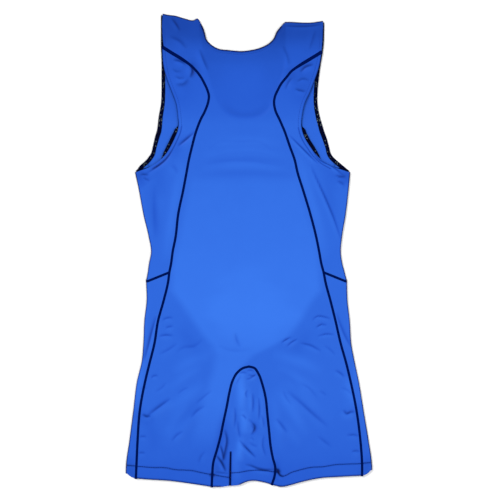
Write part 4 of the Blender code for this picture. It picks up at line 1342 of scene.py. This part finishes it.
def underarm_turn(row, side):
    """A tape's turn inside the side fold at the underarm, from the front row to the back one over it."""
    down = np.linspace(*UNDERARM_TAPE_DOWN, TAPE_COLUMNS + 1)
    first = row.copy()
    first[:, 0] = (by_level(BODY, "side_" + side, np.maximum(down, UNDERARM_DOWN))
                   - SIGN[side] * (FOLD_RADIUS + TAPE_TURN_INSET))
    first[:, 1] = LENGTH / 2.0 - down
    last = first.copy()
    last[:, 2] = TAPE_HIGH
    return tape_turn(first, last, (SIGN[side], 0.0))


def tape_patch(rows):
    """Rows of points closed into a loop, with the length and the width of the tape as its flat places."""
    points = np.concatenate(rows + [rows[0][:1]])
    width = np.linspace(0.0, ARMHOLE_TAPE_WIDTH, points.shape[1])
    places = np.stack(np.broadcast_arrays(width[None, :], run_of(points[:, 0])[:, None]), axis=-1)
    return Patch(points, places, 0.0, False)


def armhole_tape(side):
    """The elastic round one armhole, inside the cloth: down the front, round the underarm, up the back."""
    rows = ARMHOLES[1:]
    front_edge = even(column(rows, "front_" + side)[::-1], ARMHOLE_TAPE_CELLS["front"])
    back_edge = even(column(rows, "back_" + side), ARMHOLE_TAPE_CELLS["back"])
    front_width = by_level(rows, "front_tape", front_edge[:, 1])
    back_proud = by_level(rows, "tape_out", back_edge[:, 1])
    down_front = strip(front_edge, front_width, ARMHOLE_TAPE_PROUD, SIGN[side], TAPE_LOW)
    up_back = strip(back_edge, ARMHOLE_TAPE_WIDTH, back_proud, -SIGN[side], TAPE_HIGH)
    return tape_patch([down_front, underarm_turn(down_front[-1], side), up_back,
                       shoulder_turn(side, up_back[-1], down_front[0])])


def neck_tape():
    """The elastic all round the neck, inside the cloth: round the lower front, and across the back."""
    back_line = [NECK_TAPE_END["left"]] + neck_line(BACK_NECK) + [NECK_TAPE_END["right"]]
    back, front = (strip(even(line, NECK_TAPE_CELLS[layer]), NECK_TAPE_WIDTH, NECK_TAPE_PROUD, 1.0, height)
                   for line, layer, height in ((back_line, "back", TAPE_HIGH),
                                               (neck_line(FRONT_NECK), "front", TAPE_LOW)))
    return tape_patch([front[::-1], shoulder_turn("left", front[0], back[0]), back,
                       shoulder_turn("right", back[-1], front[-1])])


# Threads

def closed_band(top, bottom, light, up):
    """A band whose section is a closed loop, drawn together to a point at both ends."""
    loop = np.concatenate([top, bottom, top[:, :1]], axis=1)
    ends = [np.broadcast_to(row.mean(axis=0), row.shape)[None] for row in (loop[0], loop[-1])]
    points = np.concatenate([ends[0], loop, ends[1]])
    return Patch(points, points[..., :2], np.concatenate([light, np.ones(bottom.shape[1] + 1)]), up)


def flat_seam(line, place, spread=0.0):
    """A flat seam's band of threads along a line, wider by the share spread over its last part.

    Its height is a flat-topped dome across the band, with a sine of the way along it, slanted to and fro
    across the band, for the crossing threads, and a finer sine across it for the lengthwise ones.
    """
    values = (sizes().seam_width, sizes().seam_proud, sizes().stitch_pitch)
    width, proud, pitch = (value / METRE for value in values)
    line, at = stepped(line, pitch / BAND_ROWS_PER_STITCH)
    share = np.linspace(-1.0, 1.0, BAND_POINTS)
    wide = width / 2.0 * (1.0 + spread * ease((at - at[-1] + SPREAD_LENGTH) / (SPREAD_EASE * SPREAD_LENGTH)))
    places = line[:, None] + along_side(line)[1][:, None] * (wide[:, None] * share)[..., None]
    dome = proud * (1.0 - np.abs(share) ** DOME_POWER) - BAND_SINK
    zigzag = np.abs((share * 1.5 + 1.5) % 1.0 - 0.5)
    crossing = CROSSING_HEIGHT * np.abs(np.sin(math.pi * (at[:, None] / pitch + zigzag[None, :])))
    lengthwise = LENGTHWISE_HEIGHT * np.cos(3.0 * math.pi * share)[None, :]
    top = place(places, dome[None, :] + (crossing + lengthwise) * (1.0 - share ** THREAD_POWER)[None, :])
    bottom = place(places[:, ::-4], np.full((1, 1), -BAND_DEPTH))
    return closed_band(top, bottom, np.abs(share), place is not on_lower)


def stitches(line, place, gap=STITCH_SPACE):
    """A row of single stitches along a line: each is a long round grain, half sunk into the cloth.

    Its thickness is the root of a half sine along it, and its section is an oval.
    """
    line, at = stepped(line, STITCH_STEP)
    centres = np.arange(STITCH_LENGTH / 2.0, at[-1] - STITCH_LENGTH / 2.0, STITCH_LENGTH + gap)
    ways = (line, *along_side(line))
    middle, way, over = (read_along(centres, at, values)[:, None, None] for values in ways)
    swing = np.linspace(0.0, math.pi, 6)
    ring = np.linspace(0.0, 2.0 * math.pi, 7)
    thick = np.sqrt(np.sin(swing).clip(0.0))[:, None]
    ahead = (np.cos(swing) * STITCH_LENGTH / 2.0)[:, None] + 0.0 * ring
    beside = thick * np.cos(ring) * STITCH_WIDTH / 2.0
    places = middle + way * ahead[None, ..., None] + over * beside[None, ..., None]
    points = place(places, (thick * np.sin(ring) * STITCH_HEIGHT)[None])
    return Patch(points, places, 1.0, place is not on_lower)


def seam_piece(name, line, place, spread=0.0):
    """A dark flat seam."""
    make_piece(name, [flat_seam(line, place, spread)], "seam_thread")


# Materials

def feed(tree, made, feeds):
    """Gives inputs of a node a constant each, or links another node's output to them."""
    for name, value in feeds.items():
        if isinstance(value, bpy.types.NodeSocket):
            tree.links.new(value, made.inputs[name])
        else:
            made.inputs[name].default_value = value


def node(tree, kind, x, y, out, feeds, **settings):
    """One output of a new node at a place in the tree, with its inputs fed and its settings made."""
    made = tree.nodes.new("ShaderNode" + kind)
    made.location = (x, y)
    for name, value in settings.items():
        setattr(made, name, value)
    feed(tree, made, feeds)
    return made.outputs[out]


def maths(tree, operation, x, y, *terms):
    """The result of a sum, a product or a test of its terms."""
    return node(tree, "Math", x, y, "Value", dict(enumerate(terms)), operation=operation)


def new_finish(name):
    """An empty material with its tree and its shader."""
    made = bpy.data.materials.new(name)
    made.use_nodes = True
    return made, made.node_tree, made.node_tree.nodes["Principled BSDF"]


def cloth_finish(name):
    """Satin knitted cloth: painted light and shade pick its colour, and ribs and rows of loops give it a
    grain.
    """
    values = sizes()
    made, tree, shader = new_finish(name)
    light = node(tree, "Attribute", -900, 300, "Fac", {}, attribute_name="light")
    uv = node(tree, "UVMap", -1300, -100, "UV", {}, uv_map="knit")
    cloud = node(tree, "TexNoise", -900, 60, "Fac", {"Vector": uv, "Scale": 26.0, "Detail": 3.0})
    speck = node(tree, "TexNoise", -900, -160, "Fac", {"Vector": uv, "Scale": 900.0, "Detail": 2.0})
    cloudy = maths(tree, "MULTIPLY_ADD", -700, 60, cloud, CLOUD_LIGHT, light)
    grainy = maths(tree, "MULTIPLY_ADD", -540, 0, speck, SPECK_LIGHT, cloudy)
    share = node(tree, "MapRange", -420, 60, "Result",
                 {"Value": grainy, "From Min": DARKEST, "From Max": LIGHTEST})
    # A ramp from the darkest painted shade through the shaded and half-lit blues to the fully lit one
    colour = node(tree, "ValToRGB", -260, 200, "Color", {"Fac": share})
    ramp = colour.node.color_ramp.elements
    ramp[0].color = (*values.cloth_dark, 1.0)
    ramp[1].color = (*values.cloth_light, 1.0)
    for position, tone in ((SHADE_STOP, values.cloth_shade), (MIDDLE_STOP, values.cloth_middle)):
        ramp.new(position).color = (*tone, 1.0)
    weave = {"Vector": uv, "Distortion": 0.6, "Detail": 1.0}
    fine = METRE / values.knit_pitch
    ribs = node(tree, "TexWave", -900, -380, "Fac", {**weave, "Scale": fine * RIB_SCALE})
    loops = node(tree, "TexWave", -900, -640, "Fac", {**weave, "Scale": fine * LOOP_SCALE},
                 bands_direction="Y")
    knit = maths(tree, "ADD", -600, -480, ribs, loops)
    bump = node(tree, "Bump", -300, -400, "Normal", {"Strength": 0.12, "Distance": 0.0002, "Height": knit})
    feed(tree, shader, {"Base Color": colour, "Normal": bump, "Roughness": 0.42, "Specular IOR Level": 0.06})
    return made


def fibres(tree):
    """The fine noise of a thread's fibres."""
    coords = node(tree, "TexCoord", -900, -100, "Object", {})
    return node(tree, "TexNoise", -700, -100, "Fac", {"Vector": coords, "Scale": 1500.0, "Detail": 2.0})


def two_tone(tree, share, low, high):
    """A colour mixed from two by a share."""
    return node(tree, "Mix", -300, 200, "Result", {"Factor": share, "A": low, "B": high}, data_type="RGBA")


def thread_finish(name):
    """Dull dark thread, a little paler and greener at the heart of a seam."""
    made, tree, shader = new_finish(name)
    light = node(tree, "Attribute", -700, 200, "Fac", {}, attribute_name="light")
    fibre = fibres(tree)
    colour = two_tone(tree, light, (0.0, 0.005, 0.066, 1.0), (*sizes().thread, 1.0))
    bump = node(tree, "Bump", -300, -150, "Normal", {"Strength": 0.3, "Distance": 0.0001, "Height": fibre})
    feed(tree, shader, {"Base Color": colour, "Normal": bump, "Roughness": 0.8, "Specular IOR Level": 0.0})
    return made


def self_thread_finish(name):
    """Thread in the colour of the cloth."""
    made, tree, shader = new_finish(name)
    fibre = fibres(tree)
    colour = two_tone(tree, fibre, (0.004, 0.034, 0.25, 1.0), (0.009, 0.060, 0.38, 1.0))
    feed(tree, shader, {"Base Color": colour, "Roughness": 0.6, "Specular IOR Level": 0.06})
    return made


def elastic_finish(name):
    """Black elastic with cross ribs, and pale specks where its clear grip dots catch the light."""
    made, tree, shader = new_finish(name)
    uv = node(tree, "UVMap", -1300, 0, "UV", {}, uv_map="knit")
    dots = node(tree, "TexVoronoi", -1000, 200, "Distance", {"Vector": uv, "Scale": 330.0})
    patchy = node(tree, "TexNoise", -1000, -60, "Fac", {"Vector": uv, "Scale": 140.0, "Detail": 1.0})
    small = maths(tree, "LESS_THAN", -780, 200, dots, DOT_SIZE)
    some = maths(tree, "GREATER_THAN", -780, -60, patchy, DOT_SHARE)
    both = maths(tree, "MULTIPLY", -560, 100, small, some)
    colour = two_tone(tree, both, (*sizes().elastic, 1.0), (0.10, 0.13, 0.13, 1.0))
    ribs = node(tree, "TexWave", -1000, -320, "Fac", {"Vector": uv, "Scale": 160.0}, bands_direction="Y")
    bump = node(tree, "Bump", -300, -250, "Normal", {"Strength": 0.5, "Distance": 0.0002, "Height": ribs})
    feed(tree, shader, {"Base Color": colour, "Normal": bump, "Roughness": 0.75, "Specular IOR Level": 0.01})
    return made


FINISHES = {"satin_knit": cloth_finish, "seam_thread": thread_finish, "cloth_thread": self_thread_finish,
            "black_elastic_rib": elastic_finish}


def finish_of(name):
    """A material, made the first time that a piece asks for it."""
    return bpy.data.materials.get(name) or FINISHES[name](name)


# Operators

class SINGLET_OT_back_panel(bpy.types.Operator):
    """The centre back with its two straps"""
    bl_idname = "singlet.back_panel"
    bl_label = "Back Panel"

    def execute(self, context):
        cloth = cloth_piece("back_cloth", back_half("left") + back_half("right"), "back_panel")
        return {"FINISHED"}


class SINGLET_OT_front_panel(bpy.types.Operator):
    """The centre front, which lies on the surface"""
    bl_idname = "singlet.front_panel"
    bl_label = "Front Panel"

    def execute(self, context):
        cloth = cloth_piece("front_cloth", front_half("left") + front_half("right"), "front_panel")
        return {"FINISHED"}


class SINGLET_OT_side_panels(bpy.types.Operator):
    """The four side panels, above and below the hips"""
    bl_idname = "singlet.side_panels"
    bl_label = "Side Panels"

    def execute(self, context):
        for side in SIDES:
            over = cloth_piece("side_cloth_upper_" + side, side_panel(side, True), "side_upper_" + side)
            low = cloth_piece("side_cloth_lower_" + side, side_panel(side, False), "side_lower_" + side)
        return {"FINISHED"}


class SINGLET_OT_gusset(bpy.types.Operator):
    """The gusset between the legs"""
    bl_idname = "singlet.gusset"
    bl_label = "Gusset"

    def execute(self, context):
        cloth = cloth_piece("gusset_cloth", gusset_half("left") + gusset_half("right"), "gusset")
        return {"FINISHED"}


class SINGLET_OT_tapes(bpy.types.Operator):
    """The elastic tapes of the armholes and the neck"""
    bl_idname = "singlet.tapes"
    bl_label = "Elastic Tapes"

    def execute(self, context):
        tapes = [("armhole_elastic_" + side, armhole_tape(side), "armhole_tape_" + side) for side in SIDES]
        for name, tape, cad_node in tapes + [("neck_elastic", neck_tape(), "neck_tape")]:
            make_piece(name, [tape], "black_elastic_rib", [cad_node], TAPE, True)
        return {"FINISHED"}


class SINGLET_OT_seams(bpy.types.Operator):
    """The dark flat seams between the panels"""
    bl_idname = "singlet.seams"
    bl_label = "Flat Seams"

    def execute(self, context):
        for side in SIDES:
            long_seam = lengthened(seam(side), 1.0, SEAM_TAIL[side])
            under_shoulder = shoulder_seam(side, SHOULDER_UNDER + SEAM_GAP / 2.0, SHORT_SEAM_CELLS)
            seam_piece("long_seam_" + side, long_seam, on_upper, SEAM_SPREAD)
            seam_piece("hip_seam_" + side, hip_seam(side), on_side(side))
            seam_piece("front_seam_" + side, lengthened(front_seam(side), 1.0, 0.0), on_lower)
            seam_piece("shoulder_seam_" + side, under_shoulder, on_lower)
        whole_arch = lengthened(chain(arch("left"), arch("right")[::-1]), 1.0, 1.0)
        seam_piece("gusset_seam_back", whole_arch, on_upper)
        seam_piece("gusset_seam_front", whole_arch, on_lower)
        return {"FINISHED"}


class SINGLET_OT_stitches(bpy.types.Operator):
    """The single rows of stitches at the hems, the armholes and the neck"""
    bl_idname = "singlet.stitches"
    bl_label = "Stitches"

    def execute(self, context):
        for side in SIDES:
            line = even(HEM_STITCHES[side], HEM_STITCH_CELLS)
            rows = [stitches(line, place, HEM_STITCH_GAP) for place in (on_upper, on_lower)]
            make_piece("hem_stitches_" + side, rows, "seam_thread")
            rows = [stitches(armhole_stitch_line(side), on_upper),
                    stitches(armhole_stitch_line(side, "front"), on_lower)]
            make_piece("armhole_stitches_" + side, rows, "cloth_thread")
        rows = [stitches(neck_stitch_line(BACK_NECK), on_upper),
                stitches(neck_stitch_line(FRONT_NECK), on_lower)]
        make_piece("neck_stitches", rows, "cloth_thread")
        return {"FINISHED"}


class SINGLET_OT_stage(bpy.types.Operator):
    """The pale surface, the soft lamps and the camera straight above"""
    bl_idname = "singlet.stage"
    bl_label = "Stage"

    def execute(self, context):
        values = sizes()
        mesh = bpy.data.meshes.new("floor")
        corners = [(-1.0, -1.0), (1.0, -1.0), (1.0, 1.0), (-1.0, 1.0)]
        points = [(x * FLOOR_REACH, y * FLOOR_REACH, -FLOOR_DROP) for x, y in corners]
        mesh.from_pydata(points, [], [(0, 1, 2, 3)])
        floor = bpy.data.objects.new("floor", mesh)
        context.scene.collection.objects.link(floor)
        made, tree, shader = new_finish("pale_surface")
        feed(tree, shader, {"Base Color": (*values.floor, 1.0), "Roughness": 0.9})
        mesh.materials.append(made)
        world = bpy.data.worlds.new("soft_room")
        world.use_nodes = True
        feed(world.node_tree, world.node_tree.nodes["Background"],
             {"Color": (1.0, 1.0, 1.0, 1.0), "Strength": ROOM_LIGHT})
        context.scene.world = world
        self.lamp(context, "key", values.key_light, spread=24.0, height=48.0, heading=140.0)
        self.lamp(context, "fill", values.key_light * FILL_SHARE, spread=50.0, height=55.0, heading=-35.0)
        camera = bpy.data.cameras.new("above")
        camera.sensor_width = SENSOR_WIDTH
        camera.lens = camera.sensor_width * (values.camera_height - HEIGHT * METRE) / VIEW_WIDTH
        camera.clip_end = FLOOR_REACH
        eye = bpy.data.objects.new("above", camera)
        context.scene.collection.objects.link(eye)
        eye.location = (*VIEW_CENTRE, values.camera_height)
        context.scene.camera = eye
        context.scene.view_settings.view_transform = "Standard"
        return {"FINISHED"}

    def lamp(self, context, name, strength, spread, height, heading):
        """A soft far lamp. Its spread, its height over the horizon and its heading are in degrees."""
        light = bpy.data.lights.new(name, "SUN")
        light.energy = strength
        light.angle = math.radians(spread)
        made = bpy.data.objects.new(name, light)
        context.scene.collection.objects.link(made)
        made.rotation_euler = (0.0, math.radians(90.0 - height), math.radians(heading))


OPERATORS = (SINGLET_OT_front_panel, SINGLET_OT_back_panel, SINGLET_OT_side_panels, SINGLET_OT_gusset,
             SINGLET_OT_tapes, SINGLET_OT_seams, SINGLET_OT_stitches, SINGLET_OT_stage)


class SINGLET_PT_panel(bpy.types.Panel):
    """Makes the singlet's pieces"""
    bl_idname = "SINGLET_PT_panel"
    bl_label = "Singlet"
    bl_space_type = "VIEW_3D"
    bl_region_type = "UI"
    bl_category = "Singlet"

    def draw(self, context):
        for name in SingletSizes.__annotations__:
            self.layout.prop(context.scene.singlet, name)
        for operator in OPERATORS:
            self.layout.operator(operator.bl_idname)


CLASSES = (SingletSizes, *OPERATORS, SINGLET_PT_panel)


def register():
    """Makes the add-on's classes known, with its sizes on the scene."""
    for made in CLASSES:
        bpy.utils.register_class(made)
    bpy.types.Scene.singlet = PointerProperty(type=SingletSizes)


def unregister():
    """Takes them away again."""
    del bpy.types.Scene.singlet
    for made in reversed(CLASSES):
        bpy.utils.unregister_class(made)


def main():
    """Makes all pieces and the stage."""
    register()
    for operator in OPERATORS:
        group, name = operator.bl_idname.split(".")
        getattr(getattr(bpy.ops, group), name)()


if __name__ == "__main__":
    main()
